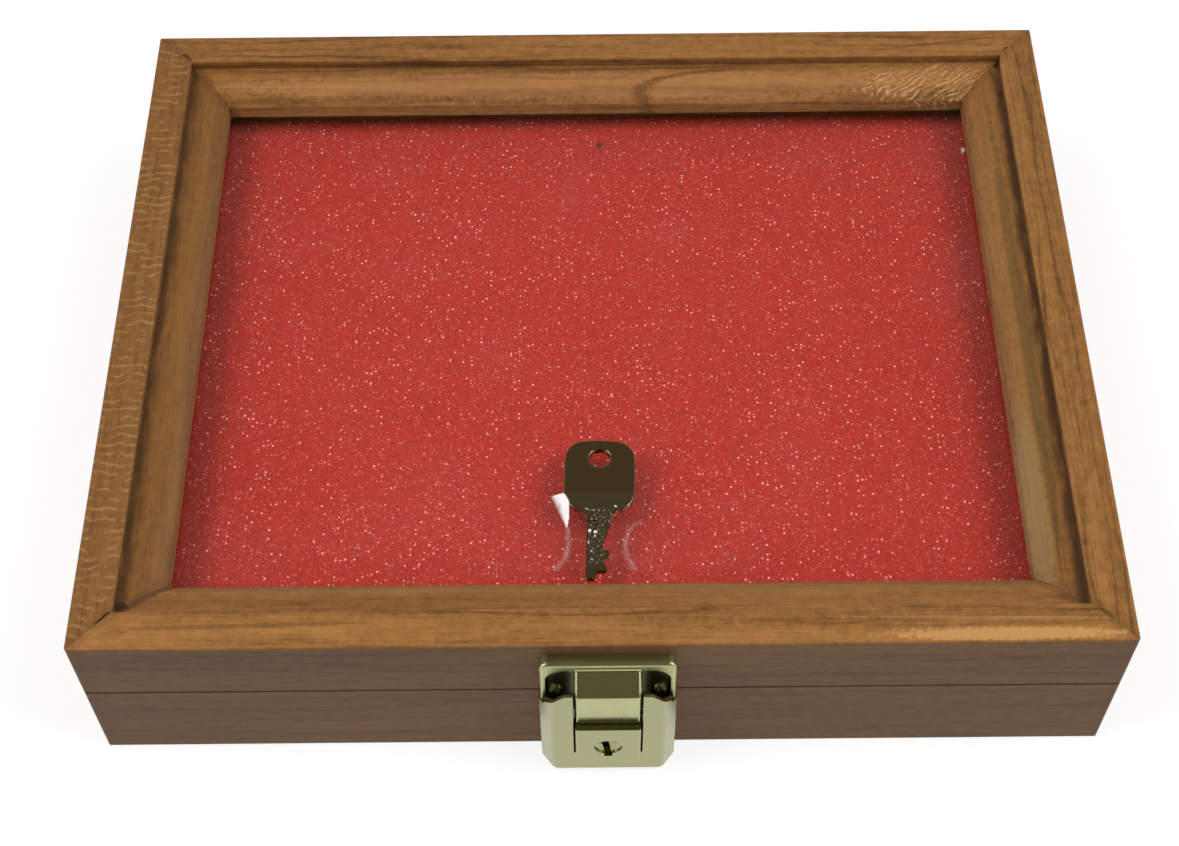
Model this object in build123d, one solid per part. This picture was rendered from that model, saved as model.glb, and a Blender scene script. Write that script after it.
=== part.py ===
from build123d import *
import os
from math import cos, radians, sin

# Collectible display case: a wooden tray with a foam pad, a hinged lid glazed with
# one pane, a hasp and key lock on the front, and the key taped to the glass.
# Millimetres. The origin is the centre of the tray's underside, the front is at -Y
# and +Z is up.

# Tray
case_width = 216.0
case_depth = 171.0
base_height = 25.4
wall_thickness = 11.5
long_edge_easing = 0.5
corner_easing = 0.9
mitre_reach = 30.0
cut_margin = 1.0

# Bottom panel, set flush in a rabbet and held by brads
panel_thickness = 3.2
panel_rabbet_width = 6.0
panel_clearance = 0.2
panel_brad_radius = 0.6
panel_brad_head_radius = 1.2
panel_brad_head_height = 0.5
panel_brad_sink = 0.3
panel_brad_length = 13.0
panel_brads_long_side = 3
panel_brads_short_side = 2
panel_brad_end_margin = 28.0
nail_hole_clearance = 0.05

# Foam pad
foam_side_clearance = 0.3
foam_bead_clearance = 1.0
foam_edge_radius = 1.2

# Lid moulding, measured inwards from the outer face and down from the flat top
lid_height = 19.05
flat_top_width = 8.7
step_depth = 2.4
ledge_width = 4.0
ledge_fall = 0.6
rail_width = 17.8
lip_top_drop = 6.5
glass_top_drop = 9.8
step_easing = 0.35

# Glass and the beads that hold it
glass_thickness = 2.4
rabbet_wall = 9.4
glass_side_clearance = 0.5
bead_width = 3.0
bead_height = 4.0
bead_round = 1.0
bead_brad_radius = 0.5
bead_brad_head_radius = 0.9
bead_brad_head_height = 0.4
bead_brad_length = 7.5
bead_brads_long_side = 3
bead_brads_short_side = 2
bead_brad_end_margin = 34.0

# Butt hinges let into the back
hinge_spread = 60.0
leaf_length = 25.4
leaf_width = 8.0
leaf_thickness = 0.9
leaf_gap = 0.2
mortise_clearance = 0.1
knuckle_radius = 2.0
knuckle_wood_clearance = 0.3
knuckle_end_gap = 0.2
knuckle_leaf_clearance = 0.3
hinge_pin_radius = 1.0
hinge_pin_head_radius = 1.5
hinge_pin_head_height = 0.7
pin_clearance = 0.05
screw_spread = 8.0
screw_inset = 4.4
screw_head_radius = 1.8
screw_shank_radius = 1.0
screw_length = 9.0
screw_tip_length = 1.8
screw_slot_width = 0.45
screw_slot_depth = 0.4

# Lock: heights are world heights, and "out" is the distance in front of the wood
lock_offset = 1.2
lock_width = 28.5
lock_face_width = 23.2
lock_side_out = 3.2
lock_face_out = 6.7
lock_bottom = 0.5
shell_sheet = 0.7
shell_edge_radius = 2.0
shell_bottom_radius = 0.7
shell_rim_gap = 0.3
wing_rise = 9.3
wing_plate_clearance = 0.4
wing_shoulder_inset = 1.6
wing_shoulder_width = 4.6
wing_shoulder_bow = 0.65
wing_shoulder_foot = 2.1

# Hasp plate on the lid
plate_width = 28.0
plate_top_drop = 3.45
plate_seam_gap = 0.3
plate_out = 2.7
plate_sheet = 1.0
plate_rim_width = 1.1
plate_top_strip = 2.4
plate_corner_radius = 2.2
plate_edge_radius = 0.8
pocket_corner_radius = 4.0
plate_nail_spread = 11.1
plate_nail_rise = 2.3
plate_nail_head_radius = 1.65
plate_nail_dome = 1.4
plate_nail_radius = 0.6
plate_nail_length = 8.0

# Hasp and its pin
hasp_width = 13.7
hasp_side_gap = 0.35
hasp_end_gap = 0.3
hasp_sheet = 0.9
hasp_flange_depth = 2.6
hasp_edge_radius = 0.85
hasp_shoulder_radius = 0.9
pivot_drop = 3.0
pivot_out = 1.5
barrel_radius = 0.95
barrel_window_gap = 0.85
slope_start_out = 0.85
slope_start_drop = 0.6
shoulder_drop = 4.0
neck_back = 0.6
neck_drop = 1.1
hasp_pin_radius = 0.45
lug_length = 1.3
staple_thickness = 1.4
staple_bottom_rise = 0.3
staple_height = 3.8
staple_end_out = 1.25
staple_wall = 0.9
staple_end_wall = 0.6
staple_slot_clearance = 0.3

# Keyhole block
ledge_drop = 3.0
block_height = 14.1
block_width = 13.7
block_out = 8.15
block_groove = 0.45
block_edge_radius = 0.6
plug_rise = 6.0
plug_radius = 2.9
plug_bore_clearance = 0.08
plug_recess = 0.4
plug_back_out = 3.3
plug_tail_radius = 0.9
dish_radius = 2.4
dish_floor_radius = 0.7
dish_depth = 1.0
key_slot_width = 1.4
key_slot_top = 2.4
key_slot_depth = 3.0
key_slot_tilt = 12.5
key_notch_width = 1.7
key_notch_depth = 1.25

# Bolt, moved sideways by a cam pin on the plug
cam_throw = 2.0
cam_swing = 90.0
cam_pin_radius = 0.7
cam_slot_clearance = 0.15
cam_slot_top_clearance = 0.3
bolt_back_out = 2.0
bolt_sheet = 1.0
fork_side = 1.5
fork_tail_clearance = 0.5
crossbar_rise = 4.6
crossbar_height = 2.4
crossbar_left = 8.6
crossbar_right = 5.8
riser_width = 1.35
finger_height = 1.2
finger_staple_gap = 0.4
riser_staple_gap = 0.3

# Lock back plate with the bolt's guide
back_sheet = 0.6
back_edge_gap = 0.3
guide_half_width = 9.0
guide_wall = 0.6
guide_clearance = 0.2
bolt_back_clearance = 0.15
body_nail_spread = 6.4
body_nail_drop = 2.0
body_nail_head_radius = 0.9
body_nail_head_height = 0.6
body_nail_radius = 0.55
body_nail_length = 8.0

# Key, flat on the glass with its tip to the front, a gap behind the front rail's lip
key_x = 0.2
key_lip_gap = 2.5
key_turn = -1.5
key_thickness = 1.6
blade_thickness = 1.3
bow_width = 15.4
bow_length = 17.9
bow_end_width = 14.4
bow_back_rise = 1.0
bow_back_radius = 4.2
bow_front_radius = 4.4
key_hole_radius = 2.3
key_hole_setback = 4.6
key_hole_easing = 0.4
key_edge_easing = 0.25
neck_half_width = 2.56
neck_length = 2.5
shoulder_half_width = 4.7
shoulder_length = 1.5
blade_length = 14.2
blade_notches = [
    (2.56, 0.5),
    (0.95, 6.0),
    (1.1, 6.9),
    (2.45, 7.6),
    (2.4, 8.7),
    (1.55, 9.4),
    (1.4, 10.6),
    (1.95, 11.5),
    (1.8, 12.3),
    (-0.2, 12.3),
]
blade_tip_right = -0.7
blade_tip_bevel = 0.35
blade_groove_width = 1.1
blade_groove_depth = 0.4
blade_groove_start = 0.8
key_joint_overlap = 0.6

# Tape over the key
tape_left = -29.3
tape_right = 34.6
tape_width = 18.7
tape_lip_gap = 5.0
tape_thickness = 0.12
tape_key_clearance = 0.05
tent_back_half_flat = 8.7
tent_back_foot = 10.6
tent_front_half_flat = 3.6
tent_front_foot = 7.6

# Places worked out from the sizes above
case_height = base_height + lid_height
glass_top = case_height - glass_top_drop
glass_underside = glass_top - glass_thickness
bead_underside = glass_underside - bead_height
foam_top = bead_underside - foam_bead_clearance
panel_brad_inset = wall_thickness - panel_rabbet_width / 2
bead_inner_inset = rabbet_wall + bead_width
hinge_y = case_depth / 2 + knuckle_wood_clearance + knuckle_radius
wood_face_y = -case_depth / 2

plate_top = case_height - plate_top_drop
plate_bottom = base_height + plate_seam_gap
pivot_height = plate_top - pivot_drop
nail_height = plate_bottom + plate_nail_rise
ledge_height = base_height - ledge_drop
hasp_bottom = ledge_height + hasp_end_gap
shoulder_height = pivot_height - shoulder_drop
slot_half = hasp_width / 2 + hasp_side_gap
wing_back = plate_out + wing_plate_clearance
wing_top = base_height + wing_rise
shell_back_top = base_height - shell_rim_gap
staple_bottom = hasp_bottom + staple_bottom_rise
staple_top = staple_bottom + staple_height
block_bottom = ledge_height - block_height
plug_height = block_bottom + plug_rise

lip_front_y = rail_width - case_depth / 2
key_back_y = lip_front_y + key_lip_gap + blade_length + neck_length + bow_length
tape_back_y = lip_front_y + tape_lip_gap + tape_width

half_swing = radians(cam_swing / 2)
cam_x = -cam_throw * sin(half_swing)
cam_rise = cam_throw * cos(half_swing)
bolt_travel = 2 * cam_throw * sin(half_swing)
bolt_front_out = bolt_back_out + bolt_sheet
crossbar_bottom = plug_height + crossbar_rise
crossbar_top = crossbar_bottom + crossbar_height
finger_bottom = staple_bottom + staple_height / 2 - finger_height / 2
finger_top = finger_bottom + finger_height
finger_tip_x = -staple_thickness / 2 - finger_staple_gap
riser_right_x = -staple_thickness / 2 - bolt_travel - riser_staple_gap
riser_left_x = riser_right_x - riser_width

sides = {
    "front": (0, case_width, case_depth),
    "back": (180, case_width, case_depth),
    "left": (270, case_depth, case_width),
    "right": (90, case_depth, case_width),
}
lock_place = Plane(origin=(lock_offset, wood_face_y, 0), x_dir=(1, 0, 0), z_dir=(0, -1, 0)).location
parts = {}


def box(low, high):
    """Box between its lowest and highest corners."""
    size = [top - bottom for bottom, top in zip(low, high)]
    return Pos(*low) * Box(*size, align=(Align.MIN, Align.MIN, Align.MIN))


def rod(start, direction, radius, length):
    """Cylinder that runs from start along direction."""
    plane = Plane(origin=start, z_dir=direction)
    return plane * Cylinder(radius, length, align=(Align.CENTER, Align.CENTER, Align.MIN))


def turned(start, direction, outline):
    """Solid of revolution from (radius, distance) points, distance measured along direction."""
    section = Plane.XZ * make_face(Polyline(*outline, close=True))
    solid = revolve(section, Axis.Z)
    return Plane(origin=start, z_dir=direction) * solid


def corner(face, point):
    """The vertex of a flat face that lies nearest to a point."""
    return face.vertices().sort_by_distance(Vector(*point))[0]


def group(solids):
    """Several separate solids in one node."""
    return Compound(children=list(solids))


def evenly(count, length, margin):
    """Places along a side, centred, with a margin at both ends."""
    span = length - 2 * margin
    return [span * (index / (count - 1) - 0.5) for index in range(count)]


case_outline = extrude(RectangleRounded(case_width, case_depth, corner_easing), amount=case_height)


def mitred(profile, side):
    """Run an (inset, height) profile along one side, with both ends cut at 45 degrees."""
    angle, length, across = sides[side]
    start = Plane(origin=(-length / 2, -across / 2, 0), x_dir=(0, 1, 0), z_dir=(1, 0, 0))
    run = extrude(start * profile, amount=length)
    half = length / 2
    wedge = Polygon(
        (-half, -across / 2),
        (half, -across / 2),
        (half - mitre_reach, mitre_reach - across / 2),
        (mitre_reach - half, mitre_reach - across / 2),
        align=None,
    )
    return Rot(0, 0, angle) * (run & extrude(wedge, amount=case_height))


def side_point(side, along, inset, height):
    """World point at a place along a side, an inset from its outer face and a height."""
    angle, length, across = sides[side]
    return Vector(along, inset - across / 2, height).rotate(Axis.Z, angle)


def outwards(side):
    """Direction out of a side."""
    return Vector(0, -1, 0).rotate(Axis.Z, sides[side][0])


def brad_places(long_count, short_count, margin):
    """Side and place along it of every brad in a ring of brads."""
    places = []
    for side in sides:
        length = sides[side][1]
        count = long_count if side in ("front", "back") else short_count
        places += [(side, along) for along in evenly(count, length, margin)]
    return places


# Hinge leaves, pins and screws

def hinge_screw(point, direction, clearance=0.0):
    """Countersunk screw, or its hole when a clearance is given."""
    head = screw_head_radius + clearance
    shank = screw_shank_radius + clearance
    outline = [
        (0, 0),
        (head, 0),
        (shank, leaf_thickness),
        (shank, screw_length - screw_tip_length),
        (0, screw_length + clearance),
    ]
    screw = turned(point, direction, outline)
    if clearance == 0.0:
        slot = Box(2 * screw_head_radius + cut_margin, screw_slot_width, 2 * screw_slot_depth)
        screw -= Plane(origin=point, z_dir=direction) * slot
    return screw


def screw_points(sign):
    """Screw head centres on the tray's leaves (sign -1) or the lid's leaves (sign +1)."""
    height = base_height + sign * leaf_gap / 2
    y = case_depth / 2 - screw_inset
    return [
        (hinge_side * hinge_spread + screw_side * screw_spread, y, height)
        for hinge_side in (-1, 1)
        for screw_side in (-1, 1)
    ]


def knuckle_spans(hinge_x, on_lid):
    """Start and end of each knuckle: the middle third on the lid, the outer thirds on the tray."""
    third = leaf_length / 3
    left = hinge_x - leaf_length / 2
    indices = [1] if on_lid else [0, 2]
    return [(left + index * third, left + (index + 1) * third) for index in indices]


def hinge_leaf(hinge_x, on_lid):
    """One leaf with its knuckles, screw holes and pin bore."""
    axis_start = hinge_x - leaf_length
    leaf_top = base_height - leaf_gap / 2
    leaf = box(
        (hinge_x - leaf_length / 2, case_depth / 2 - leaf_width, leaf_top - leaf_thickness),
        (hinge_x + leaf_length / 2, hinge_y, leaf_top),
    )
    end_gap = knuckle_end_gap / 2
    for start, end in knuckle_spans(hinge_x, not on_lid):
        room = knuckle_radius + knuckle_leaf_clearance
        leaf -= rod((start - end_gap, hinge_y, base_height), (1, 0, 0), room, end - start + 2 * end_gap)
    for start, end in knuckle_spans(hinge_x, on_lid):
        length = end - start - 2 * end_gap
        leaf += rod((start + end_gap, hinge_y, base_height), (1, 0, 0), knuckle_radius, length)
    bore = hinge_pin_radius + pin_clearance
    leaf -= rod((axis_start, hinge_y, base_height), (1, 0, 0), bore, 2 * leaf_length)
    for point in screw_points(-1):
        if abs(point[0] - hinge_x) < leaf_length / 2:
            leaf -= hinge_screw(point, (0, 0, -1), pin_clearance)
    if on_lid:
        leaf = mirror(leaf, about=Plane.XY.offset(base_height))
    return leaf


def hinge_pin(hinge_x):
    """Pin with a low round head at each end."""
    start = (hinge_x - leaf_length / 2, hinge_y, base_height)
    end = (hinge_x + leaf_length / 2, hinge_y, base_height)
    pin = rod(start, (1, 0, 0), hinge_pin_radius, leaf_length)
    pin += rod(start, (-1, 0, 0), hinge_pin_head_radius, hinge_pin_head_height)
    pin += rod(end, (1, 0, 0), hinge_pin_head_radius, hinge_pin_head_height)
    ends = pin.edges().filter_by(GeomType.CIRCLE).sort_by(Axis.X)
    return fillet([ends[0], ends[-1]], hinge_pin_head_height / 2)


def leaf_mortise(hinge_x, on_lid):
    """Recess for a leaf in the wood, open at the back."""
    depth = leaf_thickness + leaf_gap / 2
    low = base_height if on_lid else base_height - depth
    return box(
        (
            hinge_x - leaf_length / 2 - mortise_clearance,
            case_depth / 2 - leaf_width - mortise_clearance,
            low,
        ),
        (hinge_x + leaf_length / 2 + mortise_clearance, case_depth / 2 + leaf_width, low + depth),
    )


# Nails and brads

def nail(point, direction, radius, head_radius, head_height, length, clearance=0.0):
    """Flat-headed nail whose head's top is at point, or its hole when a clearance is given."""
    outline = [
        (0, -clearance),
        (head_radius + clearance, -clearance),
        (head_radius + clearance, head_height),
        (radius + clearance, head_height),
        (radius + clearance, length - 2 * radius),
        (0, length + clearance),
    ]
    return turned(point, direction, outline)


def panel_brad(side, along, clearance=0.0):
    """Brad through the bottom panel into a wall."""
    point = side_point(side, along, panel_brad_inset, panel_brad_sink)
    return nail(
        point,
        (0, 0, 1),
        panel_brad_radius,
        panel_brad_head_radius,
        panel_brad_head_height,
        panel_brad_length,
        clearance,
    )


def bead_brad(side, along, clearance=0.0):
    """Brad through a glass bead into its rail."""
    point = side_point(side, along, bead_inner_inset, glass_underside - bead_height / 2)
    return nail(
        point,
        outwards(side),
        bead_brad_radius,
        bead_brad_head_radius,
        bead_brad_head_height,
        bead_brad_length,
        clearance,
    )


panel_brad_places = brad_places(panel_brads_long_side, panel_brads_short_side, panel_brad_end_margin)
bead_brad_places = brad_places(bead_brads_long_side, bead_brads_short_side, bead_brad_end_margin)


def plate_nail(side, clearance=0.0):
    """Dome-headed nail through the hasp plate, in the lock's frame."""
    shank = rod(
        (side * plate_nail_spread, nail_height, plate_sheet + plate_nail_dome / 2),
        (0, 0, -1),
        plate_nail_radius + clearance,
        plate_nail_length + plate_nail_dome / 2 + clearance,
    )
    if clearance:
        return shank
    ball_radius = (plate_nail_head_radius**2 + plate_nail_dome**2) / (2 * plate_nail_dome)
    dome_top = plate_sheet + plate_nail_dome
    ball = Pos(side * plate_nail_spread, nail_height, dome_top - ball_radius) * Sphere(ball_radius)
    front_half = box((-lock_width, 0, plate_sheet), (lock_width, case_height, dome_top + cut_margin))
    return shank + (ball & front_half)


def body_nail(side, clearance=0.0):
    """Flat-headed nail through the lock's back plate, in the lock's frame."""
    return nail(
        (side * body_nail_spread, base_height - body_nail_drop, back_sheet + body_nail_head_height),
        (0, 0, -1),
        body_nail_radius,
        body_nail_head_radius,
        body_nail_head_height,
        body_nail_length,
        clearance,
    )


# Tray

def wall_profile():
    """Wall section with the bottom panel's rabbet."""
    rabbet_inset = wall_thickness - panel_rabbet_width
    face = make_face(
        Polyline(
            (0, 0),
            (0, base_height),
            (wall_thickness, base_height),
            (wall_thickness, panel_thickness),
            (rabbet_inset, panel_thickness),
            (rabbet_inset, 0),
            close=True,
        )
    )
    return fillet([corner(face, (0, 0)), corner(face, (0, base_height))], long_edge_easing)


def base_wall(side):
    """One mitred wall of the tray with its mortises and nail holes."""
    wall = mitred(wall_profile(), side) & case_outline
    if side == "back":
        for sign in (-1, 1):
            wall -= leaf_mortise(sign * hinge_spread, False)
        for point in screw_points(-1):
            wall -= hinge_screw(point, (0, 0, -1), nail_hole_clearance)
    if side == "front":
        for sign in (-1, 1):
            wall -= lock_place * body_nail(sign, nail_hole_clearance)
    for brad_side, along in panel_brad_places:
        if brad_side == side:
            wall -= panel_brad(side, along, nail_hole_clearance)
    return wall


def bottom_panel():
    """Panel flush with the tray's underside, with its brad holes."""
    inset = wall_thickness - panel_rabbet_width + panel_clearance
    panel = box(
        (inset - case_width / 2, inset - case_depth / 2, 0),
        (case_width / 2 - inset, case_depth / 2 - inset, panel_thickness),
    )
    for side, along in panel_brad_places:
        point = side_point(side, along, panel_brad_inset, 0)
        panel -= panel_brad(side, along, nail_hole_clearance)
        panel -= rod(point, (0, 0, 1), panel_brad_head_radius + nail_hole_clearance, panel_brad_sink)
    return panel


def foam_pad():
    """Foam block that fills the tray up to just under the glass beads."""
    inset = wall_thickness + foam_side_clearance
    foam = box(
        (inset - case_width / 2, inset - case_depth / 2, panel_thickness),
        (case_width / 2 - inset, case_depth / 2 - inset, foam_top),
    )
    return fillet(foam.faces().sort_by(Axis.Z)[-1].edges(), foam_edge_radius)


for side in sides:
    parts[f"base_wall_{side}"] = base_wall(side)
parts["bottom_panel"] = bottom_panel()
parts["bottom_panel_brads"] = group(panel_brad(*place) for place in panel_brad_places)
parts["foam_pad"] = foam_pad()


# Lid

def rail_profile():
    """Moulded rail section: flat top, step, ledge, rounded lip and glass rabbet."""
    step_foot = case_height - step_depth
    ledge_end = (flat_top_width + ledge_width, step_foot - ledge_fall)
    lip_top = (rail_width, case_height - lip_top_drop)
    face = make_face(
        [
            Line((0, base_height), (0, case_height)),
            Line((0, case_height), (flat_top_width, case_height)),
            Line((flat_top_width, case_height), (flat_top_width, step_foot)),
            Line((flat_top_width, step_foot), ledge_end),
            TangentArc(ledge_end, lip_top, tangent=(ledge_width, -ledge_fall)),
            Line(lip_top, (rail_width, glass_top)),
            Line((rail_width, glass_top), (rabbet_wall, glass_top)),
            Line((rabbet_wall, glass_top), (rabbet_wall, base_height)),
            Line((rabbet_wall, base_height), (0, base_height)),
        ]
    )
    face = fillet([corner(face, (0, base_height)), corner(face, (0, case_height))], long_edge_easing)
    return fillet(corner(face, (flat_top_width, case_height)), step_easing)


def lid_rail(side):
    """One mitred rail of the lid with its mortises and nail holes."""
    rail = mitred(rail_profile(), side) & case_outline
    if side == "back":
        for sign in (-1, 1):
            rail -= leaf_mortise(sign * hinge_spread, True)
        for point in screw_points(1):
            rail -= hinge_screw(point, (0, 0, 1), nail_hole_clearance)
    if side == "front":
        for sign in (-1, 1):
            rail -= lock_place * plate_nail(sign, nail_hole_clearance)
    for brad_side, along in bead_brad_places:
        if brad_side == side:
            rail -= bead_brad(side, along, nail_hole_clearance)
    return rail


def glass_pane():
    """Pane that lies against the underside of the rails' lips."""
    inset = rabbet_wall + glass_side_clearance
    return box(
        (inset - case_width / 2, inset - case_depth / 2, glass_underside),
        (case_width / 2 - inset, case_depth / 2 - inset, glass_top),
    )


def glass_bead(side):
    """Mitred bead that holds one edge of the pane from below."""
    face = make_face(
        Polyline(
            (rabbet_wall, bead_underside),
            (rabbet_wall, glass_underside),
            (bead_inner_inset, glass_underside),
            (bead_inner_inset, bead_underside),
            close=True,
        )
    )
    bead = mitred(fillet(corner(face, (bead_inner_inset, bead_underside)), bead_round), side)
    for brad_side, along in bead_brad_places:
        if brad_side == side:
            bead -= bead_brad(side, along, nail_hole_clearance)
    return bead


for side in sides:
    parts[f"lid_rail_{side}"] = lid_rail(side)
parts["glass_pane"] = glass_pane()
for side in sides:
    parts[f"glass_bead_{side}"] = glass_bead(side)
parts["glass_bead_brads"] = group(bead_brad(*place) for place in bead_brad_places)


# Hinges

for sign, name in ((-1, "left"), (1, "right")):
    parts[f"hinge_{name}_base_leaf"] = hinge_leaf(sign * hinge_spread, False)
    parts[f"hinge_{name}_lid_leaf"] = hinge_leaf(sign * hinge_spread, True)
    parts[f"hinge_{name}_pin"] = hinge_pin(sign * hinge_spread)
parts["hinge_screws_base"] = group(hinge_screw(point, (0, 0, -1)) for point in screw_points(-1))
parts["hinge_screws_lid"] = group(hinge_screw(point, (0, 0, 1)) for point in screw_points(1))


# Lock pieces are drawn in the lock's own frame: x across, y up, z out from the wood

def upright(points, low, high):
    """Bar of an (x, out) section that stands from one height to another."""
    plane = Plane(origin=(0, high, 0), x_dir=(1, 0, 0), z_dir=(0, -1, 0))
    return extrude(plane * make_face(Polyline(*points, close=True)), amount=high - low)


def across(points, half_width):
    """Bar of an (out, height) section that runs from side to side."""
    plane = Plane(origin=(half_width, 0, 0), x_dir=(0, 0, 1), z_dir=(-1, 0, 0))
    return extrude(plane * make_face(Polyline(*points, close=True)), amount=2 * half_width)


def hasp_plate():
    """Plate on the lid: rimmed pan with lugs for the hasp pin and a window for its barrel."""
    half = plate_width / 2
    plate = box((-half, plate_bottom, 0), (half, plate_top, plate_out))
    top_corners = plate.edges().filter_by(Axis.Z).group_by(Axis.Y)[-1]
    plate = fillet(top_corners, plate_corner_radius)
    front_rim = plate.faces().sort_by(Axis.Z)[-1].edges()
    bottom_edge = front_rim.sort_by(Axis.Y)[0]
    plate = fillet([edge for edge in front_rim if edge != bottom_edge], plate_edge_radius)
    pocket_half = half - plate_rim_width
    pocket_top = plate_top - plate_top_strip
    pocket = box(
        (-pocket_half, plate_bottom - cut_margin, plate_sheet),
        (pocket_half, pocket_top, plate_out + cut_margin),
    )
    plate -= fillet(pocket.edges().filter_by(Axis.Z).group_by(Axis.Y)[-1], pocket_corner_radius)
    lug_half = slot_half + lug_length
    lug = box(
        (-lug_half, pivot_height - barrel_radius, plate_sheet / 2),
        (lug_half, pivot_height + barrel_radius, pivot_out),
    )
    plate += lug + rod((-lug_half, pivot_height, pivot_out), (1, 0, 0), barrel_radius, 2 * lug_half)
    room = barrel_radius + barrel_window_gap
    plate -= box(
        (-slot_half, pivot_height - room, -cut_margin),
        (slot_half, pivot_height + room, plate_out + cut_margin),
    )
    bore_start = (-lug_half - cut_margin, pivot_height, pivot_out)
    bore_length = 2 * (lug_half + cut_margin)
    plate -= rod(bore_start, (1, 0, 0), hasp_pin_radius + pin_clearance, bore_length)
    for sign in (-1, 1):
        plate -= plate_nail(sign, nail_hole_clearance)
    return plate


def hasp():
    """Formed cap that swings on its pin, with a staple behind it for the bolt."""
    half = hasp_width / 2
    outer = [
        (pivot_out + slope_start_out, pivot_height - slope_start_drop),
        (lock_face_out, shoulder_height),
        (lock_face_out, hasp_bottom),
        (lock_face_out - hasp_flange_depth, hasp_bottom),
        (lock_face_out - hasp_flange_depth, shoulder_height),
        (pivot_out - neck_back, pivot_height - neck_drop),
    ]
    cap = across(outer, half)
    long_edges = cap.edges().filter_by(Axis.X)
    shoulder = long_edges.sort_by_distance((0, shoulder_height, lock_face_out))[0]
    cap = fillet(shoulder, hasp_shoulder_radius)
    front_faces = [face for face in cap.faces() if face.normal_at(face.center()).Z > 0.5]
    front_sides = [
        edge
        for face in front_faces
        for edge in face.edges()
        if abs(abs(edge.center().X) - half) < pin_clearance
    ]
    cap = fillet(front_sides, hasp_edge_radius)
    inner = [(out - hasp_sheet, height - hasp_sheet / 2) for out, height in outer]
    cap -= across(inner, half - hasp_sheet)
    cap += rod((-half, pivot_height, pivot_out), (1, 0, 0), barrel_radius, hasp_width)
    bore_start = (-half - cut_margin, pivot_height, pivot_out)
    bore_length = 2 * (half + cut_margin)
    cap -= rod(bore_start, (1, 0, 0), hasp_pin_radius + pin_clearance, bore_length)
    reach = staple_thickness / 2
    root_out = lock_face_out - hasp_sheet / 2
    staple = box((-reach, staple_bottom, staple_end_out), (reach, staple_top, root_out))
    staple = fillet(staple.edges().filter_by(Axis.X).group_by(Axis.Z)[0], staple_end_wall)
    staple -= box(
        (-reach - cut_margin, staple_bottom + staple_wall, staple_end_out + staple_end_wall),
        (reach + cut_margin, staple_top - staple_wall, bolt_front_out + staple_slot_clearance),
    )
    return cap + staple


def hasp_pin():
    """Plain pin through the plate's lugs and the hasp's barrel."""
    half = slot_half + lug_length
    return rod((-half, pivot_height, pivot_out), (1, 0, 0), hasp_pin_radius, 2 * half)


def shell_block(sheet, low, high):
    """Solid of the shell's section, shrunk by a wall: short straight sides, then a slope to the face."""
    slope = (lock_width - lock_face_width) / 2 / (lock_face_out - lock_side_out)
    slant = sheet * (1 + slope * slope) ** 0.5
    half = lock_width / 2 - sheet
    face_out = lock_face_out - sheet
    bend_out = lock_side_out - (slant - sheet) / slope
    face_half = half - slope * (face_out - bend_out)
    right_side = [(half, 0), (half, bend_out), (face_half, face_out)]
    left_side = [(-x, out) for x, out in reversed(right_side)]
    return upright(right_side + left_side, low, high)


def wing_cut():
    """Prism over the right wing's outer corner, under which the wing's shoulder is bowed."""
    start_x = slot_half + wing_shoulder_inset
    foot_x = start_x + wing_shoulder_width
    foot_height = base_height + wing_shoulder_foot
    middle = (
        (start_x + foot_x) / 2 + wing_shoulder_bow,
        (wing_top + foot_height) / 2 + wing_shoulder_bow,
    )
    over = wing_top + cut_margin
    outline = [
        ThreePointArc((start_x, wing_top), middle, (foot_x, foot_height)),
        Polyline(
            (foot_x, foot_height),
            (lock_width, foot_height),
            (lock_width, over),
            (start_x, over),
            (start_x, wing_top),
        ),
    ]
    plane = Plane(origin=(0, 0, wing_back - cut_margin))
    return extrude(plane * make_face(outline), amount=lock_face_out, dir=(0, 0, 1))


def lock_body():
    """Drawn shell with two wings, a slot for the hasp and the raised keyhole block."""
    shell = shell_block(0, lock_bottom, wing_top)
    face_edges = shell.edges().filter_by(Axis.Y).group_by(Axis.Z)[-1]
    shell = fillet(face_edges, shell_edge_radius)
    bottom_front = shell.faces().sort_by(Axis.Y)[0].edges().filter_by(Axis.X).sort_by(Axis.Z)[-1]
    shell = fillet(bottom_front, shell_bottom_radius)
    over = wing_top + cut_margin
    shell -= shell_block(shell_sheet, lock_bottom + shell_sheet, over)
    shell -= box((-lock_width, shell_back_top, -cut_margin), (lock_width, over, wing_back))
    shell -= box((-slot_half, ledge_height, 0), (slot_half, over, lock_face_out + cut_margin))
    shell -= wing_cut()
    shell -= mirror(wing_cut(), about=Plane.YZ)
    block_half = block_width / 2
    groove_floor = lock_face_out - shell_sheet
    block = box((-block_half, block_bottom, groove_floor), (block_half, ledge_height, block_out))
    block = fillet(block.edges().filter_by(Axis.Y).group_by(Axis.Z)[-1], block_edge_radius)
    bottom_front = block.faces().sort_by(Axis.Y)[0].edges().filter_by(Axis.X).sort_by(Axis.Z)[-1]
    block = fillet(bottom_front, block_edge_radius)
    for sign in (-1, 1):
        inner = sign * block_half
        outer = sign * (block_half + block_groove)
        shell -= box(
            (min(inner, outer), block_bottom + block_edge_radius, groove_floor - cut_margin),
            (max(inner, outer), ledge_height + cut_margin, lock_face_out + cut_margin),
        )
    shell += block
    bore = plug_radius + plug_bore_clearance
    shell -= rod((0, plug_height, 0), (0, 0, 1), bore, block_out + cut_margin)
    return shell - box(
        (-key_notch_width / 2, plug_height - bore - key_notch_depth, 0),
        (key_notch_width / 2, plug_height, block_out + cut_margin),
    )


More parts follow.
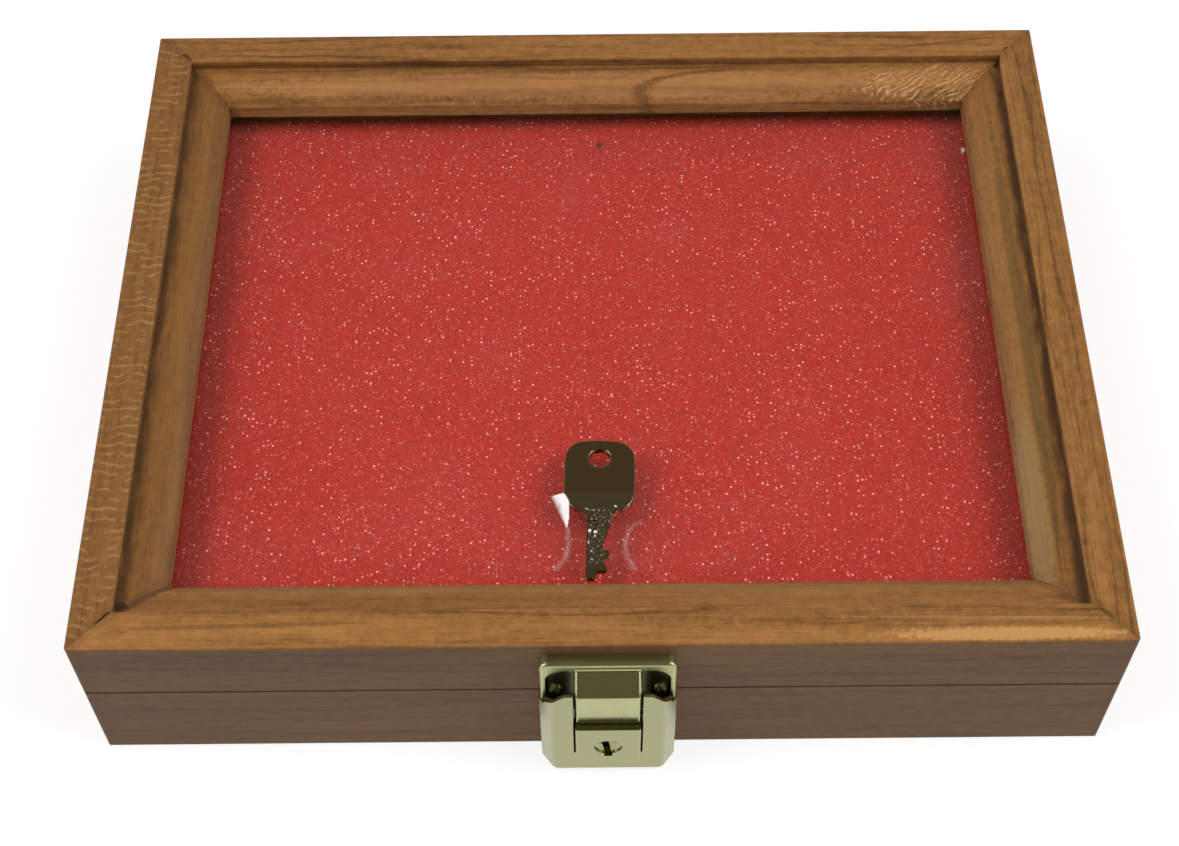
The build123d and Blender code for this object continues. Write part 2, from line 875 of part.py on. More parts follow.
def lock_back_plate():
    """Plate against the wood, with a raised channel that guides the bolt."""
    half = lock_width / 2 - shell_sheet - back_edge_gap
    low = lock_bottom + shell_sheet + back_edge_gap
    plate = box((-half, low, 0), (half, shell_back_top, back_sheet))
    channel_low = crossbar_bottom - guide_clearance
    channel_high = crossbar_top + guide_clearance
    floor_out = bolt_back_out - bolt_back_clearance
    guide = box(
        (-guide_half_width, channel_low - guide_wall, 0),
        (guide_half_width, channel_high + guide_wall, bolt_front_out),
    )
    guide -= box((-lock_width, channel_low, floor_out), (lock_width, channel_high, lock_face_out))
    fork_room = abs(cam_x) + cam_pin_radius + cam_slot_clearance + fork_side + guide_clearance
    guide -= box(
        (-fork_room, channel_low - guide_wall - cut_margin, floor_out),
        (fork_room, channel_low + cut_margin, lock_face_out),
    )
    riser_room = (riser_left_x - guide_clearance, riser_right_x + bolt_travel + guide_clearance)
    guide -= box(
        (riser_room[0], channel_high - cut_margin, floor_out),
        (riser_room[1], channel_high + guide_wall + cut_margin, lock_face_out),
    )
    plate += guide
    tail_bore = plug_tail_radius + plug_bore_clearance
    plate -= rod((0, plug_height, -cut_margin), (0, 0, 1), tail_bore, lock_face_out)
    for sign in (-1, 1):
        plate -= body_nail(sign, nail_hole_clearance)
    return plate


def lock_bolt():
    """Sliding bolt: fork over the cam pin, crossbar in its guide, riser and finger."""
    slot = cam_pin_radius + cam_slot_clearance
    fork_half = slot + fork_side
    fork_low = plug_height + plug_tail_radius + fork_tail_clearance
    slot_top = plug_height + cam_throw + cam_pin_radius + cam_slot_top_clearance
    back, front = bolt_back_out, bolt_front_out
    bolt = box((-crossbar_left, crossbar_bottom, back), (crossbar_right, crossbar_top, front))
    bolt += box((cam_x - fork_half, fork_low, back), (cam_x + fork_half, crossbar_bottom, front))
    bolt += box((riser_left_x, crossbar_top, back), (riser_right_x, finger_top, front))
    bolt += box((riser_left_x, finger_bottom, back), (finger_tip_x, finger_top, front))
    return bolt - box(
        (cam_x - slot, fork_low - cut_margin, back - cut_margin),
        (cam_x + slot, slot_top, front + cut_margin),
    )


def lock_plug():
    """Plug with a dished face, a tilted key slot, a tail and the cam pin."""
    front = block_out - plug_recess
    plug = rod((0, plug_height, plug_back_out), (0, 0, 1), plug_radius, front - plug_back_out)
    plug += rod((0, plug_height, pin_clearance), (0, 0, 1), plug_tail_radius, plug_back_out)
    pin_start = (cam_x, plug_height + cam_rise, bolt_back_out)
    plug += rod(pin_start, (0, 0, 1), cam_pin_radius, plug_back_out - bolt_back_out + cut_margin)
    plug -= turned(
        (0, plug_height, front),
        (0, 0, -1),
        [
            (0, -cut_margin),
            (dish_radius, -cut_margin),
            (dish_radius, 0),
            (dish_floor_radius, dish_depth),
            (0, dish_depth),
        ],
    )
    slot = box(
        (-key_slot_width / 2, -cut_margin, -key_slot_depth),
        (key_slot_width / 2, plug_radius + key_slot_top, key_slot_depth),
    )
    return plug - Pos(0, plug_height - plug_radius, front) * Rot(0, 0, key_slot_tilt) * slot


lock_pieces = {
    "hasp_plate": hasp_plate(),
    "hasp_plate_nails": group(plate_nail(sign) for sign in (-1, 1)),
    "hasp": hasp(),
    "hasp_pin": hasp_pin(),
    "lock_body": lock_body(),
    "lock_back_plate": lock_back_plate(),
    "lock_body_nails": group(body_nail(sign) for sign in (-1, 1)),
    "lock_bolt": lock_bolt(),
    "lock_plug": lock_plug(),
}
for name, piece in lock_pieces.items():
    parts[name] = lock_place * piece


# Key and tape, lying on the glass

def key():
    """Flat key drawn from the middle of its bow's back edge, with its blade to the front."""
    half = bow_width / 2
    end_half = bow_end_width / 2
    middle = -bow_length / 2
    bow = make_face(
        [
            ThreePointArc((-end_half, -bow_back_rise), (0, 0), (end_half, -bow_back_rise)),
            ThreePointArc((end_half, -bow_back_rise), (half, middle), (end_half, -bow_length)),
            Line((end_half, -bow_length), (-end_half, -bow_length)),
            ThreePointArc((-end_half, -bow_length), (-half, middle), (-end_half, -bow_back_rise)),
        ]
    )
    bow = fillet(bow.vertices().sort_by(Axis.Y)[2:], bow_back_radius)
    bow = fillet([corner(bow, (x, -bow_length)) for x in (-end_half, end_half)], bow_front_radius)
    neck_end = -bow_length - neck_length
    shoulder_end = -bow_length - shoulder_length
    shoulder = Polygon(
        (-shoulder_half_width, key_joint_overlap - bow_length),
        (shoulder_half_width, key_joint_overlap - bow_length),
        (neck_half_width, shoulder_end),
        (neck_half_width, neck_end),
        (-neck_half_width, neck_end),
        (-neck_half_width, shoulder_end),
        align=None,
    )
    tip = neck_end - blade_length
    outline = [
        (neck_half_width, neck_end + key_joint_overlap),
        *((x, neck_end - along) for x, along in blade_notches),
        (blade_tip_right + blade_tip_bevel, tip + blade_tip_bevel),
        (blade_tip_right, tip),
        (blade_tip_bevel - neck_half_width, tip),
        (-neck_half_width, tip + blade_tip_bevel),
        (-neck_half_width, neck_end + key_joint_overlap),
    ]
    blade = extrude(make_face(Polyline(*outline, close=True)), amount=blade_thickness, dir=(0, 0, 1))
    flat = extrude(bow, amount=key_thickness, dir=(0, 0, 1))
    flat = fillet(flat.faces().sort_by(Axis.Z)[-1].edges(), key_edge_easing)
    hole_length = key_thickness + 2 * cut_margin
    flat -= rod((0, -key_hole_setback, -cut_margin), (0, 0, 1), key_hole_radius, hole_length)
    top_edges = flat.faces().sort_by(Axis.Z)[-1].edges()
    hole_edge = top_edges.sort_by_distance((0, -key_hole_setback, key_thickness))[0]
    flat = fillet(hole_edge, key_hole_easing)
    flat += extrude(shoulder, amount=key_thickness, dir=(0, 0, 1))
    groove = box(
        (-blade_groove_width, tip - cut_margin, blade_thickness - blade_groove_depth),
        (0, neck_end - blade_groove_start, blade_thickness + cut_margin),
    )
    whole = flat + blade - groove
    return Pos(key_x, key_back_y, glass_top) * Rot(0, 0, key_turn) * whole


def tape_section(y, half_flat, foot):
    """Thin band across the key at one end of the tape's width."""
    low = glass_top
    high = glass_top + key_thickness + tape_key_clearance
    under = [
        (tape_left, low),
        (key_x - foot, low),
        (key_x - half_flat, high),
        (key_x + half_flat, high),
        (key_x + foot, low),
        (tape_right, low),
    ]
    over = [(x, z + tape_thickness) for x, z in reversed(under)]
    plane = Plane(origin=(0, y, 0), x_dir=(1, 0, 0), z_dir=(0, -1, 0))
    return plane * make_face(Polyline(*under, *over, close=True))


parts["key"] = key()
parts["key_tape"] = loft(
    [
        tape_section(tape_back_y, tent_back_half_flat, tent_back_foot),
        tape_section(tape_back_y - tape_width, tent_front_half_flat, tent_front_foot),
    ],
    ruled=True,
)


os.makedirs("parts", exist_ok=True)
for name, piece in parts.items():
    export_step(piece, f"parts/{name}.step")
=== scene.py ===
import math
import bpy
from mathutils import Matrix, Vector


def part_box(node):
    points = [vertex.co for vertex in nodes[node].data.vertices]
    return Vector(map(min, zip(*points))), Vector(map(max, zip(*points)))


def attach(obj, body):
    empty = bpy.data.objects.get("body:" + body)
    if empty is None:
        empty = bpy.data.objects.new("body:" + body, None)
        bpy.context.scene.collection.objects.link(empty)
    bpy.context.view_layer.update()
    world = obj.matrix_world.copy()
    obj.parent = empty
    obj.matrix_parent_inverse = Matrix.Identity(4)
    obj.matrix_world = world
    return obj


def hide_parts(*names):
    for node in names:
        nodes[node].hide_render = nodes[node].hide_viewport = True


bl_info = {
    "name": "Glazed display case",
    "version": (1, 0, 0),
    "blender": (4, 5, 0),
    "location": "3D View > Sidebar > Display case",
    "description": "Finishes, foam and tape of a wooden display case with a glazed lid",
    "category": "Object",
}

import bmesh
import bpy
from bpy.props import FloatProperty, FloatVectorProperty, PointerProperty
from mathutils import Matrix, Vector, noise

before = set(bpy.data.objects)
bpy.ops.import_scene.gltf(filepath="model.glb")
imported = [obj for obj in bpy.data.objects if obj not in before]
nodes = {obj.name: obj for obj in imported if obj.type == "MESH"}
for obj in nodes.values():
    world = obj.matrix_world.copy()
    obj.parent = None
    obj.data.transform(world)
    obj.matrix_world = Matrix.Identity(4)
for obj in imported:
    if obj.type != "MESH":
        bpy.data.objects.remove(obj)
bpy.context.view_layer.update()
MM = 0.001

# Half the width and half the depth of the wooden case, in metres
HALF_WIDTH = 0.108
HALF_DEPTH = 0.0855


def tint(name, description, default):
    """Colour setting."""
    return FloatVectorProperty(
        name=name, description=description, default=default, size=3, min=0.0, max=1.0, subtype="COLOR"
    )


def share(name, description, default):
    """Setting between nothing and all."""
    return FloatProperty(
        name=name, description=description, default=default, min=0.0, max=1.0, subtype="FACTOR"
    )


def length(name, description, default):
    """Length setting in metres."""
    return FloatProperty(
        name=name, description=description, default=default, min=0.0, precision=5, unit="LENGTH"
    )


def power(name, description, default):
    """Power setting in watts."""
    return FloatProperty(name=name, description=description, default=default, min=0.0, unit="POWER")


class WoodSettings(bpy.types.PropertyGroup):
    pale: tint("Pale wood", "Colour between the growth lines", (0.412, 0.186, 0.052))
    dark: tint("Dark wood", "Colour of the growth lines", (0.136, 0.055, 0.014))
    # This colour is stain at the mitres, and partly stain, partly painted shade in the groove at the step's
    # foot
    stain_and_shade: tint("Stain", "Colour of the stain in the groove and at the mitres", (0.092, 0.041, 0.015))
    shine: tint("Figure", "Colour of the curl that catches the light", (0.640, 0.375, 0.170))
    varnish: share("Varnish", "Weight of the satin varnish", 0.06)
    relief: share("Relief", "Depth of the pores", 0.25)


class FoamSettings(bpy.types.PropertyGroup):
    colour: tint("Foam", "Colour of the foam", (0.343, 0.0195, 0.0123))
    fleck: tint("Fleck", "Colour of the cut cells that catch the light", (0.95, 0.50, 0.42))
    edge: length("Edge", "Rounding of the top edge", 0.0012)
    crown: length("Crown", "How far the edge lies below the middle", 0.0005)
    unevenness: length("Unevenness", "Height of the gentle waves in the top", 0.00004)


class MetalSettings(bpy.types.PropertyGroup):
    brass: tint("Brass", "Colour of the brass plating", (0.450, 0.450, 0.232))
    body: tint("Lock brass", "Colour of the lock body's brass", (0.348, 0.348, 0.174))
    tarnish: tint("Tarnish", "Colour of the dulled brass", (0.380, 0.350, 0.170))
    key: tint("Key", "Colour of the key's metal", (0.269, 0.198, 0.100))
    steel: tint("Steel", "Colour of the brads, pins and bolt", (0.500, 0.500, 0.490))
    roughness: share("Roughness", "Blur of the reflections in the brass", 0.18)


class ClearSettings(bpy.types.PropertyGroup):
    glass: tint("Glass", "Tint of the pane", (0.97, 0.99, 0.98))
    smears: share("Smears", "How much of what is below the pane its faint smears cover", 0.005)
    haze: share("Tape haze", "How much of what is below the tape it covers", 0.003)
    crease: share("Tape crease", "Cover of the line where the tape meets the glass", 0.11)
    # The puckers' cover is painted: white speckles stand in for their small reflections
    crinkle: share("Tape crinkle", "Cover of the puckers where the tape lies on the key", 0.24)
    film: length("Tape thickness", "Thickness of the film", 0.00005)


class StageSettings(bpy.types.PropertyGroup):
    floor: tint("Floor", "Colour of the floor under the lamps", (0.27, 0.27, 0.27))
    lift: FloatProperty(
        name="Lift",
        description="Light that the floor adds for the camera and reflections",
        default=0.80,
        min=0.0,
    )
    sky: tint("Room", "Colour of the dim room above and before the case", (0.178, 0.164, 0.130))
    side_lamp: power("Side lamps", "Power of each side lamp", 3.6)
    top_lamp: power("Top lamp", "Power of each top lamp", 4.1)
    window: power("Windows", "Power of each window that only glints in metal", 2.4)
    focal: FloatProperty(name="Lens", description="Focal length in millimetres", default=61.0, min=10.0)


# Shader building


def add(tree, kind, values=None, **settings):
    """Add a shader node with its settings and its inputs, which are numbers or sockets."""
    made = tree.nodes.new(kind)
    for name, value in settings.items():
        setattr(made, name, value)
    for name, value in (values or {}).items():
        if isinstance(value, bpy.types.NodeSocket):
            tree.links.new(value, made.inputs[name])
        else:
            made.inputs[name].default_value = value
    return made


def maths(tree, operation, first, second=0.0, clamp=False):
    """Result of a Math node."""
    return add(tree, "ShaderNodeMath", {0: first, 1: second}, operation=operation, use_clamp=clamp).outputs[0]


def plus(tree, first, second):
    """Sum."""
    return maths(tree, "ADD", first, second)


def minus(tree, first, second):
    """Difference."""
    return maths(tree, "SUBTRACT", first, second)


def times(tree, first, second):
    """Product."""
    return maths(tree, "MULTIPLY", first, second)


def larger(tree, first, second):
    """The larger of two values."""
    return maths(tree, "MAXIMUM", first, second)


def apart(tree, first, second):
    """How far two values are apart."""
    return maths(tree, "ABSOLUTE", minus(tree, first, second))


def blend(tree, factor, first, second):
    """Colour between two colours."""
    return add(tree, "ShaderNodeMix", {0: factor, 6: first, 7: second}, data_type="RGBA").outputs[2]


def between(tree, value, low, high, to_low=0.0, to_high=1.0):
    """Value rescaled smoothly from one range to another."""
    values = {"Value": value, "From Min": low, "From Max": high, "To Min": to_low, "To Max": to_high}
    return add(tree, "ShaderNodeMapRange", values, interpolation_type="SMOOTHSTEP").outputs[0]


def stretched(tree, vector, scale, offset=None):
    """Vector times a scale, plus an offset."""
    made = add(tree, "ShaderNodeVectorMath", {0: vector, 1: scale}, operation="MULTIPLY").outputs[0]
    if offset is None:
        return made
    return add(tree, "ShaderNodeVectorMath", {0: made, 1: offset}, operation="ADD").outputs[0]


def cloud(tree, vector, scale, detail=3.0, roughness=0.55):
    """Noise value."""
    values = {"Vector": vector, "Scale": scale, "Detail": detail, "Roughness": roughness}
    return add(tree, "ShaderNodeTexNoise", values).outputs[0]


def parts_of(tree, vector):
    """The x, y and z of a vector."""
    return add(tree, "ShaderNodeSeparateXYZ", {"Vector": vector}).outputs


def colour4(colour):
    """Colour with full alpha."""
    return (*colour, 1.0)


SOCKETS = {"value": "NodeSocketFloat", "vector": "NodeSocketVector", "colour": "NodeSocketColor"}


def new_group(name, inputs, outputs):
    """Node group with named inputs and outputs."""
    tree = bpy.data.node_groups.new(name, "ShaderNodeTree")
    for socket, kind in inputs.items():
        tree.interface.new_socket(name=socket, in_out="INPUT", socket_type=SOCKETS[kind])
    for socket, kind in outputs.items():
        tree.interface.new_socket(name=socket, in_out="OUTPUT", socket_type=SOCKETS[kind])
    return tree, tree.nodes.new("NodeGroupInput").outputs, tree.nodes.new("NodeGroupOutput").inputs


# Noise in the wood: cells per millimetre along and across the grain, detail and roughness
WOOD_NOISE = {
    "tone": (0.007, 0.16, 4.0, 0.55),
    "waviness": (0.011, 0.07, 3.0, 0.55),
    "fibres": (0.045, 2.3, 5.0, 0.65),
    "pores": (0.30, 5.0, 2.0, 0.55),
    "mottle": (0.35, 0.55, 4.0, 0.55),
    "fine": (0.8, 2.4, 3.0, 0.6),
    "wobble": (0.13, 0.22, 3.0, 0.55),
    "patches": (0.22, 0.30, 3.0, 0.55),
    "ragged": (0.12, 0.5, 5.0, 0.65),
}

# Growth lines: phase per millimetre across and up, how far they wander, how thin, and in which tone
RING_ACROSS = 1.05
RING_UP = 0.75
RING_WANDER = 15.0
RING_THINNESS = 14.0
RING_TONE = (0.35, 0.6)

# Curl: phase per millimetre along the grain, how far it wanders, how thin, and where it lies
CURL_ALONG = 1.35
CURL_WANDER = 4.0
CURL_WANDER_BY_WIDTH = 4.0
CURL_THINNESS = 8.0
CURL_PATCHES = (0.38, 0.57)
CURL_LEAST = 0.35
CURL_BROAD = (1.0, 2.0)
CURL_COVER = 0.42

# Darkness that each noise gives: the noise from and to, and the darkness there
DARKNESS = {
    "tone": (0.25, 0.75, 0.10, 0.52),
    "fibres": (0.30, 0.75, -0.14, 0.26),
    "fine": (0.32, 0.68, -0.10, 0.10),
    "mottle": (0.30, 0.70, -0.12, 0.18),
}
PIT_NOISE = (0.60, 0.72)
LINE_DARKNESS = 0.34
PIT_DARKNESS = 0.18
CURL_LIGHTNESS = 0.12

# Moulding in millimetres: heights over the tray's underside, depths from the outer face
ON_FLAT = (43.9, 44.4)
UNDER_FLAT = (43.0, 43.9)
OVER_PANE = (30.0, 33.0)
BEHIND_FLAT = (8.4, 8.9)
GROOVE_DEPTH = 9.2
GROOVE_REACH = (-0.4, 2.0)
GROOVE_RAGGEDNESS = 4.5
GROOVE_LEAN = 0.4
GROOVE_BREAKS = (0.30, 0.55, 0.45, 1.0)
OUTER_DEPTH = (0.1, 0.4)
OUTER_HEIGHT = (43.9, 44.3)

# Mitre marks and the seam's painted shadow line: reach in millimetres from and to, and the cover there
MITRE_SMUDGE = (0.0, 2.0, 0.5, 0.0)
MITRE_LINE = (0.05, 0.26, 0.70, 0.0)
MITRE_RAGGEDNESS = 2.4
MITRE_BREAKS = (0.30, 0.50, 0.5, 1.0)
SMUDGE_COVER = 0.45
SEAM_SHADOW_LINE = (0.15, 0.45, 0.75, 0.0)
SEAM_SHADOW_COLOUR = (0.030, 0.016, 0.010, 1.0)

# Painted shade: the outer faces are drawn darker and greyer than the mouldings
OUTER_SHADE_COVER = 0.35
OUTER_SHADE_COLOUR = (0.125, 0.090, 0.062, 1.0)

# Roughness of the bare wood, what fibres and pits add to it, and how high they stand
WOOD_ROUGHNESS = 0.47
FIBRE_ROUGHNESS = 0.22
PIT_ROUGHNESS = 0.15
FIBRE_HEIGHT = 0.5
PIT_HEIGHT = 0.6


def growth_lines(tree, place, noises, strength):
    """Thin lines along the grain."""
    across = plus(tree, times(tree, place["Y"], RING_ACROSS), times(tree, place["Z"], RING_UP))
    phase = plus(tree, across, times(tree, noises["waviness"], RING_WANDER))
    rings = maths(tree, "ABSOLUTE", maths(tree, "SINE", phase))
    lines = times(tree, maths(tree, "POWER", rings, RING_THINNESS), strength)
    return times(tree, lines, between(tree, noises["tone"], *RING_TONE))


def curl_bands(tree, place, noises, given):
    """Bright bands across the grain, in patches on the flat or over all where they are broad."""
    wander = plus(tree, CURL_WANDER, times(tree, given["Curl width"], CURL_WANDER_BY_WIDTH))
    wobble = times(tree, noises["wobble"], wander)
    ripple = plus(tree, times(tree, place["X"], CURL_ALONG), wobble)
    ripple = plus(tree, ripple, times(tree, place["Y"], given["Slant"]))
    crests = maths(tree, "ABSOLUTE", maths(tree, "SINE", ripple))
    crests = maths(tree, "POWER", crests, maths(tree, "DIVIDE", CURL_THINNESS, given["Curl width"]))
    patches = between(tree, noises["patches"], *CURL_PATCHES)
    broad = between(tree, given["Curl width"], *CURL_BROAD)
    spread = times(tree, broad, larger(tree, patches, CURL_LEAST))
    patches = larger(tree, times(tree, patches, between(tree, place["Z"], *ON_FLAT)), spread)
    return times(tree, times(tree, crests, patches), given["Curl"])


def grain_group():
    """Cherry with growth lines along x, pores, curl across x, a groove darkened by stain and painted shade, a
    ledge in painted shade, mitre lines, outer faces in painted shade and a painted shadow along the seam.
    """
    if "Cherry grain" in bpy.data.node_groups:
        return bpy.data.node_groups["Cherry grain"]
    inputs = {"Vector": "vector", "Seed": "value"}
    inputs.update({name: "colour" for name in ("Pale", "Dark", "Stain", "Shine")})
    numbers = ("Lines", "Curl", "Curl width", "Slant", "Groove", "Ledge", "Half length", "Seam")
    inputs.update({name: "value" for name in numbers})
    outputs = {"Color": "colour", "Roughness": "value", "Height": "value"}
    tree, given, result = new_group("Cherry grain", inputs, outputs)
    millimetres = stretched(tree, given["Vector"], (1.0 / MM, 1.0 / MM, 1.0 / MM))
    same = given["Seed"]
    seed = add(tree, "ShaderNodeCombineXYZ", {"X": same, "Y": same, "Z": same}).outputs[0]
    place = parts_of(tree, millimetres)
    noises = {}
    for name, (along, across, detail, roughness) in WOOD_NOISE.items():
        spread = stretched(tree, millimetres, (along, across, across), seed)
        noises[name] = cloud(tree, spread, 1.0, detail, roughness)
    ragged = noises["ragged"]

    lines = growth_lines(tree, place, noises, given["Lines"])
    curl = curl_bands(tree, place, noises, given)
    pits = between(tree, noises["pores"], *PIT_NOISE)
    darkness = times(tree, lines, LINE_DARKNESS)
    for name, ranges in DARKNESS.items():
        darkness = plus(tree, darkness, between(tree, noises[name], *ranges))
    darkness = plus(tree, darkness, times(tree, pits, PIT_DARKNESS))
    darkness = maths(tree, "SUBTRACT", darkness, times(tree, curl, CURL_LIGHTNESS), clamp=True)
    wood = blend(tree, darkness, given["Pale"], given["Dark"])
    wood = blend(tree, maths(tree, "MULTIPLY", curl, CURL_COVER, clamp=True), wood, given["Shine"])

    # Painted shade: the ledge and lip behind the flat top are blended towards the dark wood, as they face
    # away from the light
    low_part = between(tree, place["Z"], *UNDER_FLAT, 1.0, 0.0)
    low_part = times(tree, low_part, between(tree, place["Z"], *OVER_PANE))
    ledge_shade = times(tree, low_part, between(tree, place["Y"], *BEHIND_FLAT))
    wood = blend(tree, times(tree, ledge_shade, given["Ledge"]), wood, given["Dark"])
    # Groove at the step's foot: darkened with the stain colour, partly stain and partly painted shade in the
    # corner
    off_groove = apart(tree, place["Y"], GROOVE_DEPTH)
    raggedness = times(tree, minus(tree, ragged, GROOVE_LEAN), GROOVE_RAGGEDNESS)
    groove = between(tree, minus(tree, off_groove, raggedness), *GROOVE_REACH, 1.0, 0.0)
    groove = times(tree, groove, times(tree, low_part, between(tree, ragged, *GROOVE_BREAKS)))
    wood = blend(tree, times(tree, groove, given["Groove"]), wood, given["Stain"])

    from_end = minus(tree, given["Half length"], maths(tree, "ABSOLUTE", place["X"]))
    off_mitre = apart(tree, from_end, place["Y"])
    smudge = minus(tree, off_mitre, times(tree, ragged, MITRE_RAGGEDNESS))
    smudge = between(tree, smudge, *MITRE_SMUDGE)
    line = between(tree, off_mitre, *MITRE_LINE)
    line = times(tree, line, between(tree, ragged, *MITRE_BREAKS))
    wood = blend(tree, larger(tree, line, times(tree, smudge, SMUDGE_COVER)), wood, given["Stain"])

    # Painted shade: the outer faces below the flat top blend towards a darker, greyer colour
    outer = between(tree, place["Y"], *OUTER_DEPTH, 1.0, 0.0)
    outer = times(tree, outer, between(tree, place["Z"], *OUTER_HEIGHT, 1.0, 0.0))
    wood = blend(tree, outer, wood, blend(tree, OUTER_SHADE_COVER, wood, OUTER_SHADE_COLOUR))
    # Painted shadow: a dark line along the seam between lid and tray
    off_seam = apart(tree, place["Z"], given["Seam"])
    seam = times(tree, between(tree, off_seam, *SEAM_SHADOW_LINE), outer)
    tree.links.new(blend(tree, seam, wood, SEAM_SHADOW_COLOUR), result["Color"])

    rough = plus(tree, WOOD_ROUGHNESS, times(tree, noises["fibres"], FIBRE_ROUGHNESS))
    tree.links.new(plus(tree, rough, times(tree, pits, PIT_ROUGHNESS)), result["Roughness"])
    height = minus(tree, times(tree, noises["fibres"], FIBRE_HEIGHT), times(tree, pits, PIT_HEIGHT))
    tree.links.new(minus(tree, height, line), result["Height"])
    return tree


# Cells per metre in the ragged edge of a mark, their detail, and where the mark fades out
MARK_CELLS = 900.0
MARK_DETAIL = 4.0
MARK_FADE = (0.7, 1.1, 1.0, 0.0)


def mark_group():
    """Mask of one ragged spot, longer one way and turned, and the distance that it is made from."""
    if "Ragged mark" in bpy.data.node_groups:
        return bpy.data.node_groups["Ragged mark"]
    tree, given, result = new_group(
        "Ragged mark",
        {"Vector": "vector", "Centre": "vector", "Reach": "vector", "Turn": "value", "Raggedness": "value"},
        {"Mask": "value", "Distance": "value"},
    )
    values = {"Vector": given["Vector"], "Center": given["Centre"], "Angle": given["Turn"]}
    turned = add(tree, "ShaderNodeVectorRotate", values, rotation_type="Z_AXIS").outputs[0]
    off = add(tree, "ShaderNodeVectorMath", {0: turned, 1: given["Centre"]}, operation="SUBTRACT").outputs[0]
    off = add(tree, "ShaderNodeVectorMath", {0: off, 1: given["Reach"]}, operation="DIVIDE").outputs[0]
    distance = add(tree, "ShaderNodeVectorMath", {0: off}, operation="LENGTH").outputs["Value"]
    rough = minus(tree, cloud(tree, given["Vector"], MARK_CELLS, MARK_DETAIL), 0.5)
    distance = plus(tree, distance, times(tree, rough, given["Raggedness"]))
    tree.links.new(between(tree, distance, *MARK_FADE), result["Mask"])
    tree.links.new(distance, result["Distance"])
    return tree


# Noise on the metal: cells per metre each way, detail, roughness, and the noise from none to all
METAL_NOISE = {
    "patches": ((300.0, 300.0, 130.0), 5.0, 0.6, 0.40, 0.72),
    "specks": ((2600.0, 2600.0, 2600.0), 2.0, 0.55, 0.66, 0.78),
    "smears": ((300.0, 380.0, 300.0), 4.0, 0.55, 0.35, 0.7),
    "scratches": ((300.0, 7000.0, 7000.0), 1.0, 0.55, 0.66, 0.74),
    "scores": ((7000.0, 2500.0, 400.0), 1.0, 0.55, 0.68, 0.76),
}
SPECK_COVER = 0.35
SMEAR_BLUR = 0.06
SCRATCH_BLUR = 0.08
DULL_BLUR = 0.06
PATCH_DEPTH = 0.6


def metal_group():
    """Handled metal: dulled patches, fine scratches and smears."""
    if "Handled metal" in bpy.data.node_groups:
        return bpy.data.node_groups["Handled metal"]
    tree, given, result = new_group(
        "Handled metal",
        {"Vector": "vector", "Clean": "colour", "Dull": "colour", "Wear": "value", "Blur": "value"},
        {"Color": "colour", "Roughness": "value", "Height": "value"},
    )
    noises = {}
    masks = {}
    for name, (cells, detail, roughness, low, high) in METAL_NOISE.items():
        noises[name] = cloud(tree, stretched(tree, given["Vector"], cells), 1.0, detail, roughness)
        masks[name] = between(tree, noises[name], low, high)
    scratches = maths(tree, "ADD", masks["scratches"], masks["scores"], clamp=True)
    dull = times(tree, masks["patches"], given["Wear"])
    dull = maths(tree, "ADD", dull, times(tree, masks["specks"], SPECK_COVER), clamp=True)
    tree.links.new(blend(tree, dull, given["Clean"], given["Dull"]), result["Color"])
    rough = plus(tree, given["Blur"], times(tree, masks["smears"], SMEAR_BLUR))
    rough = plus(tree, rough, times(tree, scratches, SCRATCH_BLUR))
    tree.links.new(plus(tree, rough, times(tree, dull, DULL_BLUR)), result["Roughness"])
    height = times(tree, plus(tree, scratches, times(tree, noises["patches"], PATCH_DEPTH)), -1.0)
    tree.links.new(height, result["Height"])
    return tree


def new_material(name):
    """Empty node material with its Principled shader and output."""
    made = bpy.data.materials.new(name)
    made.use_nodes = True
    tree = made.node_tree
    tree.nodes.clear()
    shader = tree.nodes.new("ShaderNodeBsdfPrincipled")
    output = tree.nodes.new("ShaderNodeOutputMaterial")
    tree.links.new(shader.outputs[0], output.inputs["Surface"])
    return made, tree, shader, output


def object_place(tree):
    """Object coordinates, which are the part's own frame in metres."""
    return tree.nodes.new("ShaderNodeTexCoord").outputs["Object"]


def attribute(tree, name):
    """Value of a mesh attribute."""
    made = tree.nodes.new("ShaderNodeAttribute")
    made.attribute_name = name
    return made.outputs["Fac"]


def use(tree, shader, **links):
    """Link sockets into a shader's inputs, named with underscores for spaces."""
    for name, socket in links.items():
        tree.links.new(socket, shader.inputs[name.replace("_", " ")])


def fix(shader, **values):
    """Set a shader's plain inputs, named with underscores for spaces."""
    for name, value in values.items():
        shader.inputs[name.replace("_", " ")].default_value = value


def bump(tree, height, distance, strength):
    """Normal from a height."""
    values = {"Height": height, "Distance": distance, "Strength": strength}
    return add(tree, "ShaderNodeBump", values).outputs[0]


def dress(names, material):
    """Give CAD nodes one material."""
    for name in names:
        mesh = nodes[name].data
        mesh.materials.clear()
        mesh.materials.append(material)


# Half length of each side, the turn that brings it to the front, and how far its outer face then is
SIDES = {
    "front": (HALF_WIDTH, 0.0, HALF_DEPTH),
    "back": (HALF_WIDTH, math.pi, HALF_DEPTH),
    "left": (HALF_DEPTH, math.pi / 2, HALF_WIDTH),
    "right": (HALF_DEPTH, -math.pi / 2, HALF_WIDTH),
}

# Width of the curl's bands and their lean, as flecks on a flat and as flames on a slope
FLECKS = (0.5, 0.0)
FLAMES = (2.4, -2.4)
FLAME_RAGGEDNESS = 2.4
FLAME_STRENGTH = 2.0
SPOT_RAGGEDNESS = 1.2

# Line of an oval growth figure: its raggedness, width, cover and the raggedness of its fading end
OVAL_RAGGEDNESS = 0.15
OVAL_WIDTH = 0.10
OVAL_COVER = 0.7
OVAL_FADE_RAGGEDNESS = 0.5

